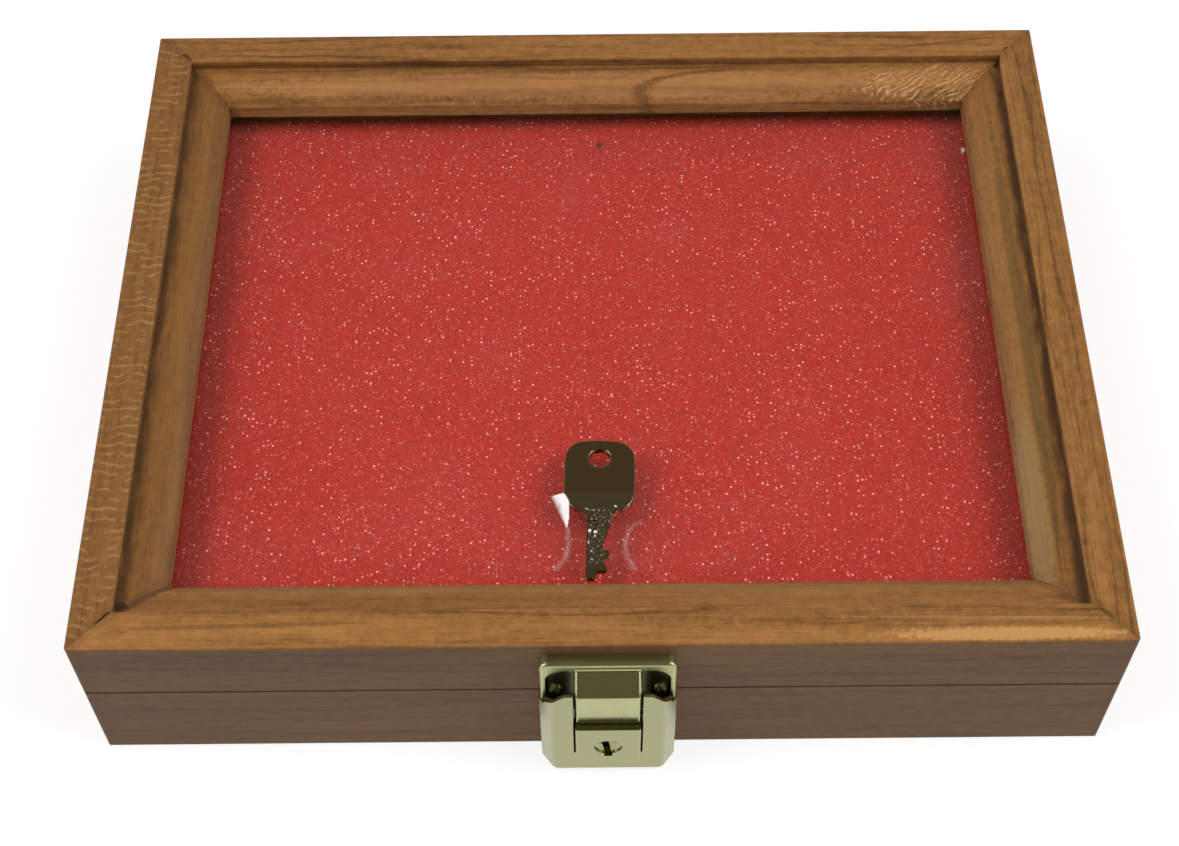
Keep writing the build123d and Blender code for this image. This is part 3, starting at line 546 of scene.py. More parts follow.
WOOD_BUMP = 0.0002
VARNISH_ROUGHNESS = 0.32
WOOD_IOR = 1.45
WOOD_SPECULAR = 0.35

DARK_MARK = (0.030, 0.014, 0.007)
RED_MARK = (0.130, 0.040, 0.020)
PALE_MARK = (0.620, 0.330, 0.120)
LINE_MARK = (0.110, 0.045, 0.012)
SMEAR_MARK = (0.085, 0.036, 0.020)
OLIVE_MARK = (0.105, 0.072, 0.026)
STRAW_MARK = (0.330, 0.225, 0.095)
GLOW_MARK = (0.560, 0.255, 0.105)

# Each rail's own wood. Marks are centre and reach in millimetres, turn in degrees, colour and cover
RAILS = {
    "front": {
        "seed": 3.1,
        "lines": 0.9,
        "curl": 0.10,
        "ledge_shade": 0.34,
        "marks": (
            ((101.8, -78.4, 44.4), (2.4, 0.8, 2.0), 45.0, DARK_MARK, 0.45),
            ((95.6, -74.0, 41.6), (3.2, 1.2, 2.0), 20.0, RED_MARK, 0.45),
            ((82.0, -83.6, 44.4), (26.0, 1.6, 3.0), 0.0, PALE_MARK, 0.75),
            ((78.0, -80.0, 44.4), (30.0, 0.5, 3.0), 1.0, PALE_MARK, 0.35),
            ((-74.0, -80.4, 44.4), (27.0, 0.65, 3.0), -1.2, LINE_MARK, 0.42),
            ((-66.0, -76.9, 44.4), (40.0, 0.25, 3.0), -0.8, LINE_MARK, 0.5),
            ((-93.0, -71.2, 40.0), (7.0, 0.9, 6.0), -42.0, SMEAR_MARK, 0.6),
        ),
    },
    "back": {
        "seed": 7.7,
        "lines": 1.15,
        "groove": 0.30,
        "marks": (
            ((-100.6, 78.6, 44.4), (1.9, 0.7, 2.0), 45.0, DARK_MARK, 0.7),
            ((101.5, 78.9, 44.4), (0.9, 0.6, 2.0), 0.0, DARK_MARK, 0.9),
            ((-96.5, 73.5, 41.6), (4.2, 1.6, 2.0), 40.0, RED_MARK, 0.40),
            ((86.3, 81.2, 44.4), (18.8, 0.22, 3.0), -7.6, LINE_MARK, 0.75),
            ((0.0, 71.5, 40.5), (95.0, 3.6, 20.0), 0.0, GLOW_MARK, 0.36),
        ),
        "flames": (((84.0, 71.5, 40.0), (19.0, 5.0, 9.0), 0.0),),
        "ovals": (((45.0, 69.6, 40.0), (34.0, 6.2, 60.0), (18.0, 71.0, 40.0)),),
    },
    "left": {
        "seed": 11.3,
        "lines": 0.45,
        "curl": 0.78,
        "groove": 0.85,
        "ledge_shade": 0.16,
        "warmth": 0.74,
        "marks": (
            ((-101.1, -78.3, 44.4), (2.3, 0.45, 2.0), -45.0, DARK_MARK, 0.9),
            ((-98.2, -74.2, 42.0), (1.5, 1.2, 2.0), 0.0, DARK_MARK, 0.8),
            ((-94.5, -72.6, 41.0), (6.0, 1.0, 6.0), -42.0, SMEAR_MARK, 0.5),
        ),
    },
    "right": {
        "seed": 17.9,
        "lines": 1.15,
        "curl": 0.12,
        "groove": 1.0,
        "ledge_shade": 0.28,
        "warmth": 0.97,
        "marks": (
            ((95.4, -4.0, 40.5), (1.5, 66.0, 6.0), 0.0, OLIVE_MARK, 0.50),
            ((92.2, -50.0, 38.5), (2.6, 27.0, 8.0), 0.0, STRAW_MARK, 0.45),
            ((101.9, -79.0, 44.4), (2.2, 0.7, 2.0), 40.0, DARK_MARK, 0.5),
            ((99.0, 76.5, 42.0), (1.2, 2.2, 3.0), 0.0, DARK_MARK, 0.85),
            ((98.6, 65.5, 42.0), (0.7, 1.6, 3.0), 0.0, DARK_MARK, 0.7),
        ),
    },
}

# The tray's walls, the glass beads and the bottom board have no marks
WALL_SEED = 40.0
WALL_WOOD = {"lines": 0.5, "curl": 0.05}
BOARD_WOOD = {"seed": 71.0, "lines": 0.7, "warmth": 0.9}


def masked(tree, place, centre, reach, turned, raggedness, wanted="Mask"):
    """Mask of a ragged mark, its places in millimetres and its turn in degrees."""
    mark = add(tree, "ShaderNodeGroup", node_tree=mark_group())
    tree.links.new(place, mark.inputs["Vector"])
    mark.inputs["Centre"].default_value = [value * MM for value in centre]
    mark.inputs["Reach"].default_value = [value * MM for value in reach]
    mark.inputs["Turn"].default_value = math.radians(turned)
    mark.inputs["Raggedness"].default_value = raggedness
    return mark.outputs[wanted]


def wood_material(name, side, settings, seed, lines, curl=0.0, groove=0.0, ledge_shade=0.0, warmth=1.0, **figure):
    """Varnished cherry for one side, with its grain along the side and its marks, ovals and flames."""
    made, tree, shader, _ = new_material(name)
    place = object_place(tree)
    half, turn, depth = SIDES[side]
    flames = figure.get("flames", ())
    curl_width, slant = FLAMES if flames else FLECKS
    values = {"Vector": place, "Rotation": (0.0, 0.0, turn), "Location": (0.0, depth, 0.0)}
    along = add(tree, "ShaderNodeMapping", values, vector_type="POINT").outputs[0]
    values = {
        "Vector": along,
        "Seed": seed,
        "Pale": colour4([channel * warmth for channel in settings.pale]),
        "Dark": colour4(settings.dark),
        "Stain": colour4(settings.stain_and_shade),
        "Shine": colour4(settings.shine),
        "Lines": lines,
        "Curl": curl,
        "Curl width": curl_width,
        "Slant": slant,
        "Groove": groove,
        "Ledge": ledge_shade,
        "Half length": half / MM,
        "Seam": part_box("base_wall_front")[1].z / MM,
    }
    grain = add(tree, "ShaderNodeGroup", values, node_tree=grain_group())
    colour = grain.outputs["Color"]
    for centre, reach, turned, colour_of_mark, strength in figure.get("marks", ()):
        spot = masked(tree, place, centre, reach, turned, SPOT_RAGGEDNESS)
        colour = blend(tree, times(tree, spot, strength), colour, colour4(colour_of_mark))
    for centre, reach, fade in figure.get("ovals", ()):
        distance = masked(tree, place, centre, reach, 0.0, OVAL_RAGGEDNESS, "Distance")
        rim = between(tree, apart(tree, distance, 1.0), 0.0, OVAL_WIDTH, 1.0, 0.0)
        rim = times(tree, rim, masked(tree, place, fade, reach, 0.0, OVAL_FADE_RAGGEDNESS))
        colour = blend(tree, times(tree, rim, OVAL_COVER), colour, colour4(LINE_MARK))
    for centre, reach, turned in flames:
        flame = masked(tree, place, centre, reach, turned, FLAME_RAGGEDNESS)
        tree.links.new(times(tree, flame, FLAME_STRENGTH), grain.inputs["Curl"])
    normal = bump(tree, grain.outputs["Height"], WOOD_BUMP, settings.relief)
    use(tree, shader, Base_Color=colour, Roughness=grain.outputs["Roughness"], Normal=normal)
    fix(shader, Coat_Weight=settings.varnish, Coat_Roughness=VARNISH_ROUGHNESS)
    fix(shader, IOR=WOOD_IOR, Specular_IOR_Level=WOOD_SPECULAR)
    return made


METAL_BUMP = 0.00001
METAL_RELIEF = 0.3


def metal_material(name, clean, dull, wear, blur):
    """Handled metal finish."""
    made, tree, shader, _ = new_material(name)
    values = {"Vector": object_place(tree), "Clean": colour4(clean), "Dull": colour4(dull)}
    values.update({"Wear": wear, "Blur": blur})
    group = add(tree, "ShaderNodeGroup", values, node_tree=metal_group())
    normal = bump(tree, group.outputs["Height"], METAL_BUMP, METAL_RELIEF)
    use(tree, shader, Base_Color=group.outputs["Color"], Roughness=group.outputs["Roughness"], Normal=normal)
    fix(shader, Metallic=1.0)
    return made


def shadowless(tree, shader, output):
    """Let light through to what is below: the shader is clear to shadow rays."""
    path = tree.nodes.new("ShaderNodeLightPath")
    clear = tree.nodes.new("ShaderNodeBsdfTransparent")
    values = {0: path.outputs["Is Shadow Ray"], 1: shader.outputs[0], 2: clear.outputs[0]}
    mixed = add(tree, "ShaderNodeMixShader", values)
    tree.links.new(mixed.outputs[0], output.inputs["Surface"])


# Mesh building


def new_piece(name, body, shape, material):
    """Smooth object of a bmesh that rides on a body, with its finish."""
    bmesh.ops.recalc_face_normals(shape, faces=shape.faces)
    mesh = bpy.data.meshes.new(name)
    shape.to_mesh(mesh)
    shape.free()
    for face in mesh.polygons:
        face.use_smooth = True
    mesh.materials.append(material)
    piece = bpy.data.objects.new(name, mesh)
    bpy.context.scene.collection.objects.link(piece)
    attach(piece, body)
    return piece


def piecewise(value, points):
    """Value read off a line through (place, value) points."""
    for (x0, y0), (x1, y1) in zip(points, points[1:]):
        if value <= x1:
            return y0 + (y1 - y0) * max(0.0, value - x0) / (x1 - x0)
    return points[-1][1]


# Where the camera stands and how it is turned
CAMERA_PLACE = (
    (0.999952, 0.009526, 0.002096, -0.001212),
    (-0.006691, 0.826323, -0.563156, -0.273896),
    (-0.007097, 0.563116, 0.826348, 0.399986),
    (0.0, 0.0, 0.0, 1.0),
)
SENSOR_WIDTH = 36.0
NEAREST = 0.01

# The floor is darker in metal beyond this reach in front of the case, in metres
FLOOR_FAR = (0.30, 0.75)
FLOOR_FAR_LIFT = 0.24
FLOOR_FAR_SHARE = 0.3
FLOOR_HALF = 4.0
FLOOR_HEIGHT = -0.0002

# The room is dim above this rise and this far towards the front, as shares of a direction
ROOM_RISE = (0.18, 0.50)
ROOM_FRONT = (0.25, 0.65)

# Lamps: place and size in metres, the setting of its power, seen in gloss, seen on matt surfaces
LAMPS = {
    "Left lamp": ((-1.10, -0.02, 0.64), 0.92, "side_lamp", True, True),
    "Right lamp": ((1.10, -0.02, 0.64), 0.92, "side_lamp", True, True),
    "Top lamp left": ((-0.55, -0.20, 0.95), 0.45, "top_lamp", False, True),
    "Top lamp right": ((0.55, -0.20, 0.95), 0.45, "top_lamp", False, True),
    "Left window": ((-1.06, -0.41, 0.52), 0.50, "window", True, False),
    "Right window": ((1.06, -0.41, 0.52), 0.50, "window", True, False),
}
LAMP_AIM = Vector((0.0, 0.0, 0.02))
WHITE = (1.0, 1.0, 1.0, 1.0)


def add_camera(scene, focal):
    """Camera at the photograph's viewing angle."""
    lens = bpy.data.cameras.new("Case camera")
    lens.lens = focal
    lens.sensor_width = SENSOR_WIDTH
    lens.clip_start = NEAREST
    camera = bpy.data.objects.new("Case camera", lens)
    camera.matrix_world = Matrix(CAMERA_PLACE)
    scene.collection.objects.link(camera)
    scene.camera = camera


def add_floor(scene, settings):
    """Pale floor that looks white and keeps the shadow."""
    made, tree, shader, _ = new_material("Floor paper")
    path = tree.nodes.new("ShaderNodeLightPath").outputs
    place = parts_of(tree, object_place(tree))
    far = between(tree, times(tree, place["Y"], -1.0), *FLOOR_FAR)
    seen = larger(tree, path["Is Camera Ray"], path["Is Transmission Ray"])
    seen = times(tree, seen, plus(tree, 1.0, times(tree, far, FLOOR_FAR_LIFT)))
    mirrored = times(tree, path["Is Glossy Ray"], minus(tree, 1.0, far))
    seen = larger(tree, seen, mirrored)
    shade = colour4([channel * FLOOR_FAR_SHARE for channel in settings.floor])
    paper = blend(tree, far, colour4(settings.floor), shade)
    use(tree, shader, Base_Color=paper, Emission_Strength=times(tree, seen, settings.lift))
    fix(shader, Roughness=1.0, Specular_IOR_Level=0.0, Emission_Color=WHITE)
    shape = bmesh.new()
    bmesh.ops.create_grid(shape, x_segments=1, y_segments=1, size=FLOOR_HALF)
    bmesh.ops.translate(shape, verts=shape.verts, vec=(0.0, 0.0, FLOOR_HEIGHT))
    mesh = bpy.data.meshes.new("floor")
    shape.to_mesh(mesh)
    shape.free()
    mesh.materials.append(made)
    floor = bpy.data.objects.new("floor", mesh)
    scene.collection.objects.link(floor)


def add_room(scene, sky_colour):
    """White room near the horizon and for the camera, dim above and in front."""
    world = bpy.data.worlds.new("Room")
    scene.world = world
    world.use_nodes = True
    tree = world.node_tree
    tree.nodes.clear()
    path = tree.nodes.new("ShaderNodeLightPath").outputs
    facing = parts_of(tree, tree.nodes.new("ShaderNodeTexCoord").outputs["Generated"])
    toward = times(tree, facing["Y"], -1.0)
    dim = larger(tree, between(tree, facing["Z"], *ROOM_RISE), between(tree, toward, *ROOM_FRONT))
    dim = times(tree, dim, minus(tree, 1.0, path["Is Camera Ray"]))
    room = blend(tree, dim, WHITE, colour4(sky_colour))
    sky = add(tree, "ShaderNodeBackground", {"Color": room, "Strength": 1.0})
    output = tree.nodes.new("ShaderNodeOutputWorld")
    tree.links.new(sky.outputs[0], output.inputs["Surface"])


class DISPLAYCASE_OT_stage(bpy.types.Operator):
    """Camera, pale floor, room and lamps"""

    bl_idname = "display_case.stage"
    bl_label = "Stage"

    def execute(self, context):
        settings = context.scene.case_stage
        scene = context.scene
        scene.view_settings.view_transform = "Standard"
        add_camera(scene, settings.focal)
        add_floor(scene, settings)
        add_room(scene, settings.sky)
        for name, (place, size, setting, glossy, matt) in LAMPS.items():
            light = bpy.data.lights.new(name, "AREA")
            light.shape = "SQUARE"
            light.size = size
            light.energy = getattr(settings, setting)
            lamp = bpy.data.objects.new(name, light)
            aim = (LAMP_AIM - Vector(place)).to_track_quat("-Z", "Y")
            lamp.matrix_world = Matrix.Translation(place) @ aim.to_matrix().to_4x4()
            lamp.visible_glossy = glossy
            lamp.visible_diffuse = matt
            scene.collection.objects.link(lamp)
        return {"FINISHED"}


class DISPLAYCASE_OT_wood(bpy.types.Operator):
    """Finish the tray, the lid frame and the glass beads"""

    bl_idname = "display_case.wood"
    bl_label = "Wood"

    def execute(self, context):
        settings = context.scene.case_wood
        for side, traits in RAILS.items():
            dress([f"lid_rail_{side}"], wood_material(f"Cherry rail {side}", side, settings, **traits))
            wall_seed = traits["seed"] + WALL_SEED
            wall = wood_material(f"Cherry wall {side}", side, settings, wall_seed, **WALL_WOOD)
            dress([f"base_wall_{side}", f"glass_bead_{side}"], wall)
        dress(["bottom_panel"], wood_material("Bottom board", "front", settings, **BOARD_WOOD))
        return {"FINISHED"}


# Share of dulled patches on each metal, what its blur adds to the brass, or its own blur
HASP_WEAR = 0.30
BODY_WEAR = 0.40
PLATE_BLUR = 0.14
HINGE_WEAR = 0.55
HINGE_BLUR = 0.08
KEY_WEAR = 0.15
KEY_BLUR = 0.13
KEY_SHADE = 0.8
STEEL_WEAR = 0.4
STEEL_BLUR = 0.34
STEEL_SHADE = 0.7


class DISPLAYCASE_OT_metal(bpy.types.Operator):
    """Finish the lock, the hinges, the key and the fasteners"""

    bl_idname = "display_case.metal"
    bl_label = "Metal"

    def execute(self, context):
        settings = context.scene.case_metal
        brass, tarnish, blur = settings.brass, settings.tarnish, settings.roughness
        dress(["hasp"], metal_material("Brass plate", brass, tarnish, HASP_WEAR, blur))
        plate = metal_material("Plate brass", brass, tarnish, HASP_WEAR, blur + PLATE_BLUR)
        dress(["hasp_plate", "hasp_plate_nails"], plate)
        body = metal_material("Lock brass", settings.body, tarnish, BODY_WEAR, blur)
        dress(["lock_body", "lock_plug"], body)
        hinge = metal_material("Hinge brass", brass, tarnish, HINGE_WEAR, blur + HINGE_BLUR)
        for end in ("left", "right"):
            dress([f"hinge_{end}_{part}" for part in ("base_leaf", "lid_leaf", "pin")], hinge)
        dress(["hinge_screws_base", "hinge_screws_lid"], hinge)
        shade = [channel * KEY_SHADE for channel in settings.key]
        dress(["key"], metal_material("Key nickel", settings.key, shade, KEY_WEAR, KEY_BLUR))
        shade = [channel * STEEL_SHADE for channel in settings.steel]
        steel = metal_material("Steel", settings.steel, shade, STEEL_WEAR, STEEL_BLUR)
        dress(["bottom_panel_brads", "glass_bead_brads", "hasp_pin"], steel)
        dress(["lock_back_plate", "lock_body_nails", "lock_bolt"], steel)
        return {"FINISHED"}


GLASS_IOR = 1.5
SMEAR_CELLS = 40.0
SMEAR_DETAIL = 4.0
SMEAR_NOISE = (0.45, 0.75)
DUST_COLOUR = (0.9, 0.88, 0.85, 1.0)

# A speck of dust on the pane: x and y, its reach, turn, raggedness and cover
DUST_PLACE = (89.4, 54.4)
DUST_REACH = (0.5, 1.0, 2.0)
DUST_TURN = 20.0
DUST_RAGGEDNESS = 2.6
DUST_COVER = 0.6

# Under the rails the pane shows their wood, which it touches: its rim is painted in a flat wood colour,
# darkened as wood in shade
REBATE_SHADED_WOOD = (0.24, 0.105, 0.033, 1.0)
REBATE_GAP = 0.0002
SKIN = 0.00002


class DISPLAYCASE_OT_glass(bpy.types.Operator):
    """Finish the pane"""

    bl_idname = "display_case.glass"
    bl_label = "Glass"

    def execute(self, context):
        settings = context.scene.case_clear
        pane_low, pane_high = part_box("glass_pane")
        made, tree, shader, output = new_material("Pane glass")
        place = object_place(tree)
        fix(shader, Roughness=0.0, Base_Color=colour4(settings.glass), Transmission_Weight=1.0, IOR=GLASS_IOR)
        centre = (*DUST_PLACE, pane_high.z / MM)
        speck = masked(tree, place, centre, DUST_REACH, DUST_TURN, DUST_RAGGEDNESS)
        smears = cloud(tree, place, SMEAR_CELLS, SMEAR_DETAIL)
        smears = between(tree, smears, *SMEAR_NOISE, 0.0, settings.smears)
        cover = larger(tree, times(tree, speck, DUST_COVER), smears)

        sight = (-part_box("lid_rail_left")[1].x, -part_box("lid_rail_front")[1].y)
        spot = parts_of(tree, place)
        beyond = []
        for axis, half in zip(("X", "Y"), sight):
            reach = maths(tree, "ABSOLUTE", spot[axis])
            beyond.append(maths(tree, "GREATER_THAN", reach, half + REBATE_GAP))
        under = maths(tree, "LESS_THAN", spot["Z"], pane_low.z + SKIN)
        inside = tree.nodes.new("ShaderNodeNewGeometry").outputs["Backfacing"]
        outside = maths(tree, "SUBTRACT", under, inside, clamp=True)
        # Painted shade: the rim under the rails takes a flat wood colour darkened as in shade, the rest of
        # the pane takes the dust
        rebate = times(tree, larger(tree, *beyond), outside)
        behind = blend(tree, rebate, DUST_COLOUR, REBATE_SHADED_WOOD)
        dust_and_shaded_rim = add(tree, "ShaderNodeBsdfDiffuse", {"Color": behind})
        values = {0: larger(tree, cover, rebate), 1: shader.outputs[0], 2: dust_and_shaded_rim.outputs[0]}
        shadowless(tree, add(tree, "ShaderNodeMixShader", values), output)
        dress(["glass_pane"], made)
        return {"FINISHED"}


# Cuts along and across the foam, the reach of its sinking edge, and the lean of its waves
FOAM_CUTS = ((0, 63), (1, 48))
EDGE_SHARE = 0.9
TOUCH = 1e-6
CROWN_REACH = 0.008
WAVE_CELLS = 90.0
WAVE_LEAN = 0.6

# A small pit in the foam near the back: x, y, depth and reach in millimetres, and its dark mark
PIT_PLACE = (0.8, 63.5)
PIT_DEPTH = 1.2
PIT_REACH = 2.2
PIT_MARK = (1.1, 1.4, 4.0)
PIT_MARK_RAGGEDNESS = 0.8
PIT_COVER = 0.75
PIT_COLOUR = (0.10, 0.004, 0.003, 1.0)

# Cells and clumps of the foam: cells per metre, then the noise from and to and the shade there
CELLS = 1500.0
CLUMPS = 260.0
CELL_SHADE = (0.30, 0.70, -0.26, 0.26)
CLUMP_SHADE = (0.3, 0.7, -0.03, 0.03)
FOAM_SHADE = 0.62
FOAM_LIGHT = 1.38

# Bright flecks, painted glints of the cut cells: cells per metre, reach in a cell, share of cells without
# one, and cover
FLECK_GLINT_SIZES = ((1000.0, 0.30, 0.62, 0.85), (1700.0, 0.34, 0.50, 0.42))
FOAM_BUMP = 0.0004
FOAM_RELIEF = 0.6
FOAM_ROUGHNESS = 0.85
FOAM_SPECULAR = 0.2


def foam_shape(settings, low, high):
    """Block with a rounded top edge, a slightly sunken rim, gentle waves and the pit."""
    size = high - low
    shape = bmesh.new()
    bmesh.ops.create_cube(shape, size=1.0)
    bmesh.ops.scale(shape, verts=shape.verts, vec=size)
    bmesh.ops.translate(shape, verts=shape.verts, vec=(low + high) / 2)
    for axis, cuts in FOAM_CUTS:
        least = size[axis] * EDGE_SHARE
        edges = [edge for edge in shape.edges if abs((edge.verts[0].co - edge.verts[1].co)[axis]) > least]
        bmesh.ops.subdivide_edges(shape, edges=edges, cuts=cuts, use_grid_fill=True)
    rim = []
    for edge in shape.edges:
        at_top = min(vert.co.z for vert in edge.verts) > high.z - TOUCH
        if at_top and any(abs(face.normal.z) < 0.5 for face in edge.link_faces):
            rim.append(edge)
    bmesh.ops.bevel(
        shape, geom=rim, offset=settings.edge, segments=3, profile=0.5, affect="EDGES", material=-1
    )
    pit_place = Vector(PIT_PLACE) * MM
    for vert in shape.verts:
        if vert.co.z < high.z - settings.edge:
            continue
        inward = min(vert.co.x - low.x, high.x - vert.co.x, vert.co.y - low.y, high.y - vert.co.y)
        sink = settings.crown * math.exp(-inward / CROWN_REACH)
        wave = (noise.noise(vert.co * WAVE_CELLS) - WAVE_LEAN) * settings.unevenness
        off_pit = (vert.co.xy - pit_place).length / (PIT_REACH * MM)
        pit = PIT_DEPTH * MM * math.exp(-(off_pit**2))
        vert.co.z += min(wave, 0.0) - sink - pit
    return shape


class DISPLAYCASE_OT_foam(bpy.types.Operator):
    """Foam pad with a softly rounded top edge"""

    bl_idname = "display_case.foam"
    bl_label = "Foam pad"

    def execute(self, context):
        settings = context.scene.case_foam
        low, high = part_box("foam_pad")
        made, tree, shader, _ = new_material("Red foam")
        place = object_place(tree)
        cells = cloud(tree, place, CELLS, 3.0, 0.6)
        clumps = between(tree, cloud(tree, place, CLUMPS), *CLUMP_SHADE)
        shade = plus(tree, between(tree, cells, *CELL_SHADE), clumps)
        deep = colour4([channel * FOAM_SHADE for channel in settings.colour])
        bright = colour4([min(1.0, channel * FOAM_LIGHT) for channel in settings.colour])
        body = blend(tree, maths(tree, "ADD", 0.5, shade, clamp=True), deep, bright)
        # Painted glints: bright flecks of the cut cells mixed into the base colour
        for scale, reach, few, strength in FLECK_GLINT_SIZES:
            dots = add(tree, "ShaderNodeTexVoronoi", {"Vector": place, "Scale": scale}, feature="F1")
            chosen = add(tree, "ShaderNodeSeparateColor", {"Color": dots.outputs["Color"]}).outputs
            near = between(tree, dots.outputs["Distance"], reach * 0.5, reach, 1.0, 0.0)
            glint = between(tree, chosen[0], few, 1.0, 0.0, strength)
            body = blend(tree, times(tree, near, glint), body, colour4(settings.fleck))
        pit = masked(tree, place, (*PIT_PLACE, high.z / MM), PIT_MARK, 0.0, PIT_MARK_RAGGEDNESS)
        body = blend(tree, times(tree, pit, PIT_COVER), body, PIT_COLOUR)
        use(tree, shader, Base_Color=body, Normal=bump(tree, cells, FOAM_BUMP, FOAM_RELIEF))
        fix(shader, Roughness=FOAM_ROUGHNESS, Specular_IOR_Level=FOAM_SPECULAR)
        foam = new_piece("foam_block", "case", foam_shape(settings, low, high), made)
        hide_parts("foam_pad")
        return {"FINISHED"}


# Half-widths in millimetres where the film leaves the key and where it meets the glass, by y
TAPE_EDGE = (
    (-63.0, 2.75), (-50.0, 2.75), (-49.0, 3.6), (-48.0, 5.0),
    (-47.0, 6.0), (-46.0, 6.8), (-45.0, 7.3), (-43.5, 7.5),
)
LEFT_FOOT = (
    (-62.7, 10.6), (-61.7, 9.9), (-59.8, 8.2), (-56.2, 7.35),
    (-52.2, 7.35), (-49.9, 8.4), (-43.8, 10.9),
)
RIGHT_FOOT = (
    (-62.7, 8.4), (-59.4, 6.3), (-56.3, 5.8), (-52.6, 6.7),
    (-50.1, 9.4), (-47.0, 10.6), (-43.8, 11.4),
)

# The painted highlight on the film's facet beside the key: half-widths of its outer and inner limits by y
GLINT_OUTER = ((-52.2, 7.15), (-44.2, 10.5))
GLINT_INNER = ((-52.2, 7.10), (-49.9, 6.65), (-46.4, 6.55), (-43.8, 7.9))
GLINT_FRONT = -52.2
GLINT_BACK = -44.0
GLINT_LEAST = 0.35
GLINT_RISE = 1.3

# Small bubbles under the film, their brightness painted as glints: place and reach in millimetres, turn in
# degrees and cover
BUBBLES = (
    ((-2.27, -53.75), (0.35, 0.42), 20.0, 0.9),
    ((-1.06, -54.05), (0.42, 0.34), -30.0, 0.9),
    ((-1.17, -55.05), (0.20, 0.32), 0.0, 0.7),
    ((3.28, -47.70), (0.35, 0.22), 30.0, 0.5),
    ((-2.55, -56.60), (0.14, 0.50), 0.0, 0.4),
    ((-2.85, -48.30), (0.55, 0.12), 30.0, 0.35),
    ((-1.9, -58.8), (0.22, 0.26), 0.0, 0.3),
)
BUBBLE_RAGGEDNESS = 0.6

# Squares of the film's grid, its gap over the key and the glass, and its small puckers
TAPE_SQUARES = (360, 100)
FILM_GAP_KEY = 0.00004
FILM_GAP_GLASS = 0.00005
PUCKER_CELLS = 420.0
PUCKER_HEIGHT = 0.00008

# The crease runs up to this y, fades in cells per metre, and widens by these millimetres forwards
CREASE_BACK = -50.0
CREASE_CELLS = 230.0
CREASE_WIDTH = 0.30
CREASE_SPREAD = 0.05

# The crinkled stretch on the key, where the puckers' small reflections are painted: y from and to, and
# half-widths in millimetres
CRINKLE_FRONT = -62.0
CRINKLE_BACK = -48.0
CRINKLE_SHOULDER = -52.0
CRINKLE_HALF = 2.6
CRINKLE_HALF_FRONT = 0.8
CRINKLE_CELLS = 1900.0
CRINKLE_NOISE = (0.56, 0.68)

FACET_CELLS = (900.0, 160.0, 200.0)
FACET_CONTRAST = (0.9, 1.2, 0.45, 1.0)
STREAK_CELLS = (60.0, 900.0, 60.0)
STREAK_CONTRAST = (0.4, 0.75, 0.6, 1.6)
TAPE_COLOUR = (1.0, 0.98, 0.97, 1.0)
TAPE_ROUGHNESS = 0.2


def tape_shape():
    """Film that lies on the key, slopes down to the glass and carries its marks as attributes."""
    low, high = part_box("key_tape")
    key_low, key_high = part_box("key")
    pane_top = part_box("glass_pane")[1].z
    over_key = key_high.z + FILM_GAP_KEY
    middle = (key_low.x + key_high.x) / 2
    shape = bmesh.new()
    glint_layer = shape.verts.layers.float.new("glint")
    crease_layer = shape.verts.layers.float.new("crease")
    crinkle_layer = shape.verts.layers.float.new("crinkle")
    squares_x, squares_y = TAPE_SQUARES
    bmesh.ops.create_grid(shape, x_segments=squares_x, y_segments=squares_y, size=0.5)
    bmesh.ops.scale(shape, verts=shape.verts, vec=(high.x - low.x, high.y - low.y, 1.0))
    centre = ((low.x + high.x) / 2, (low.y + high.y) / 2, 0.0)
    bmesh.ops.translate(shape, verts=shape.verts, vec=centre)
    for vert in shape.verts:
        side = vert.co.x - middle
        across = abs(side) / MM
        along = vert.co.y / MM
        edge = piecewise(along, TAPE_EDGE)
        foot = piecewise(along, LEFT_FOOT if side < 0 else RIGHT_FOOT)
        slope = (across - edge) / (foot - edge)
        rise = 1.0 - min(1.0, max(0.0, slope))
        on_slope = 4.0 * rise * (1.0 - rise)
        pucker = noise.noise(vert.co * PUCKER_CELLS) * PUCKER_HEIGHT * on_slope
        vert.co.z = pane_top + FILM_GAP_GLASS + (over_key - pane_top) * rise + pucker
        outer = piecewise(along, GLINT_OUTER)
        inner = piecewise(along, GLINT_INNER)
        if side < 0 and GLINT_FRONT < along < GLINT_BACK and inner < across < outer:
            vert[glint_layer] = min(1.0, GLINT_LEAST + GLINT_RISE * (outer - across) / (outer - inner))
        off_foot = across - foot
        if along < CREASE_BACK and off_foot < 0.0:
            fade = 0.5 + 0.5 * noise.noise(vert.co * CREASE_CELLS)
            spread = CREASE_WIDTH + CREASE_SPREAD * (CREASE_BACK - along)
            vert[crease_layer] = fade * math.exp(-(((off_foot + spread) / spread) ** 2))
        right = CRINKLE_HALF if along > CRINKLE_SHOULDER else CRINKLE_HALF_FRONT
        if CRINKLE_FRONT < along < CRINKLE_BACK and -CRINKLE_HALF < side / MM < right:
            vert[crinkle_layer] = 1.0
    return shape


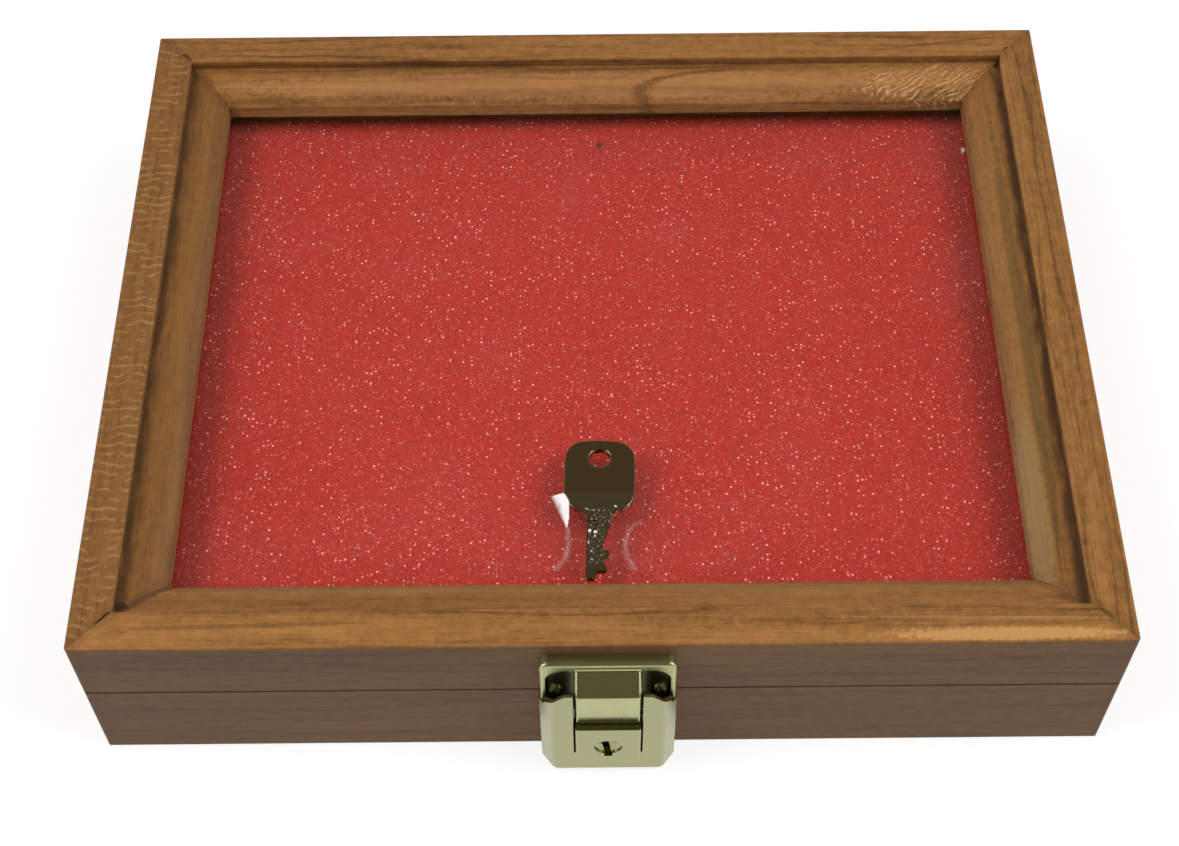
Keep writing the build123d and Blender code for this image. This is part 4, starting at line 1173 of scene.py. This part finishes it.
class DISPLAYCASE_OT_tape(bpy.types.Operator):
    """Clear tape that bridges from the key down to the glass"""

    bl_idname = "display_case.tape"
    bl_label = "Tape"

    def execute(self, context):
        settings = context.scene.case_clear
        film_height = (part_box("key")[1].z + FILM_GAP_KEY) / MM
        made, tree, shader, _ = new_material("Clear tape")
        place = object_place(tree)
        # Painted highlight: the facet beside the key is covered white, most at its inner edge
        glint = attribute(tree, "glint")
        facet = plus(tree, cloud(tree, stretched(tree, place, FACET_CELLS), 1.0, 2.0), glint)
        glint = times(tree, glint, between(tree, facet, *FACET_CONTRAST))
        cover = larger(tree, glint, times(tree, attribute(tree, "crease"), settings.crease))
        # Painted reflections: white speckles where the crinkled tape lies on the key
        wrinkles = cloud(tree, place, CRINKLE_CELLS, 3.0, 0.65)
        puckers = between(tree, wrinkles, *CRINKLE_NOISE, 0.0, settings.crinkle)
        cover = larger(tree, cover, times(tree, attribute(tree, "crinkle"), puckers))
        # Painted glints: the bubbles are drawn as bright white spots on the film
        for (x, y), (reach_x, reach_y), turned, strength in BUBBLES:
            centre = (x, y, film_height)
            bubble = masked(tree, place, centre, (reach_x, reach_y, 1.0), turned, BUBBLE_RAGGEDNESS)
            cover = larger(tree, cover, times(tree, bubble, strength))
        streaks = cloud(tree, stretched(tree, place, STREAK_CELLS), 1.0)
        haze = times(tree, between(tree, streaks, *STREAK_CONTRAST), settings.haze)
        use(tree, shader, Alpha=larger(tree, cover, haze))
        fix(shader, Base_Color=TAPE_COLOUR, Roughness=TAPE_ROUGHNESS)
        film = new_piece("tape_film", "lid", tape_shape(), made)
        thick = film.modifiers.new("Film thickness", "SOLIDIFY")
        thick.thickness = settings.film
        thick.offset = 1.0
        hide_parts("key_tape")
        return {"FINISHED"}


class DISPLAYCASE_PT_panel(bpy.types.Panel):
    """Buttons and settings of the display case"""

    bl_idname = "DISPLAYCASE_PT_panel"
    bl_label = "Display case"
    bl_space_type = "VIEW_3D"
    bl_region_type = "UI"
    bl_category = "Display case"

    def draw(self, context):
        for operator, group in OPERATORS.items():
            box = self.layout.box()
            box.operator(operator.bl_idname)
            settings = getattr(context.scene, group)
            for name in settings.__annotations__:
                box.prop(settings, name)


GROUPS = {
    "case_wood": WoodSettings,
    "case_foam": FoamSettings,
    "case_metal": MetalSettings,
    "case_clear": ClearSettings,
    "case_stage": StageSettings,
}

# Each operator, in the order of the work, with the group of its settings
OPERATORS = {
    DISPLAYCASE_OT_stage: "case_stage",
    DISPLAYCASE_OT_wood: "case_wood",
    DISPLAYCASE_OT_metal: "case_metal",
    DISPLAYCASE_OT_glass: "case_clear",
    DISPLAYCASE_OT_foam: "case_foam",
    DISPLAYCASE_OT_tape: "case_clear",
}
CLASSES = (*GROUPS.values(), *OPERATORS, DISPLAYCASE_PT_panel)


def register():
    for kind in CLASSES:
        bpy.utils.register_class(kind)
    for name, group in GROUPS.items():
        setattr(bpy.types.Scene, name, PointerProperty(type=group))


def unregister():
    for name in GROUPS:
        delattr(bpy.types.Scene, name)
    for kind in reversed(CLASSES):
        bpy.utils.unregister_class(kind)


def main():
    """Make every piece in order."""
    register()
    for operator in OPERATORS:
        family, name = operator.bl_idname.split(".")
        getattr(getattr(bpy.ops, family), name)()


if __name__ == "__main__":
    main()
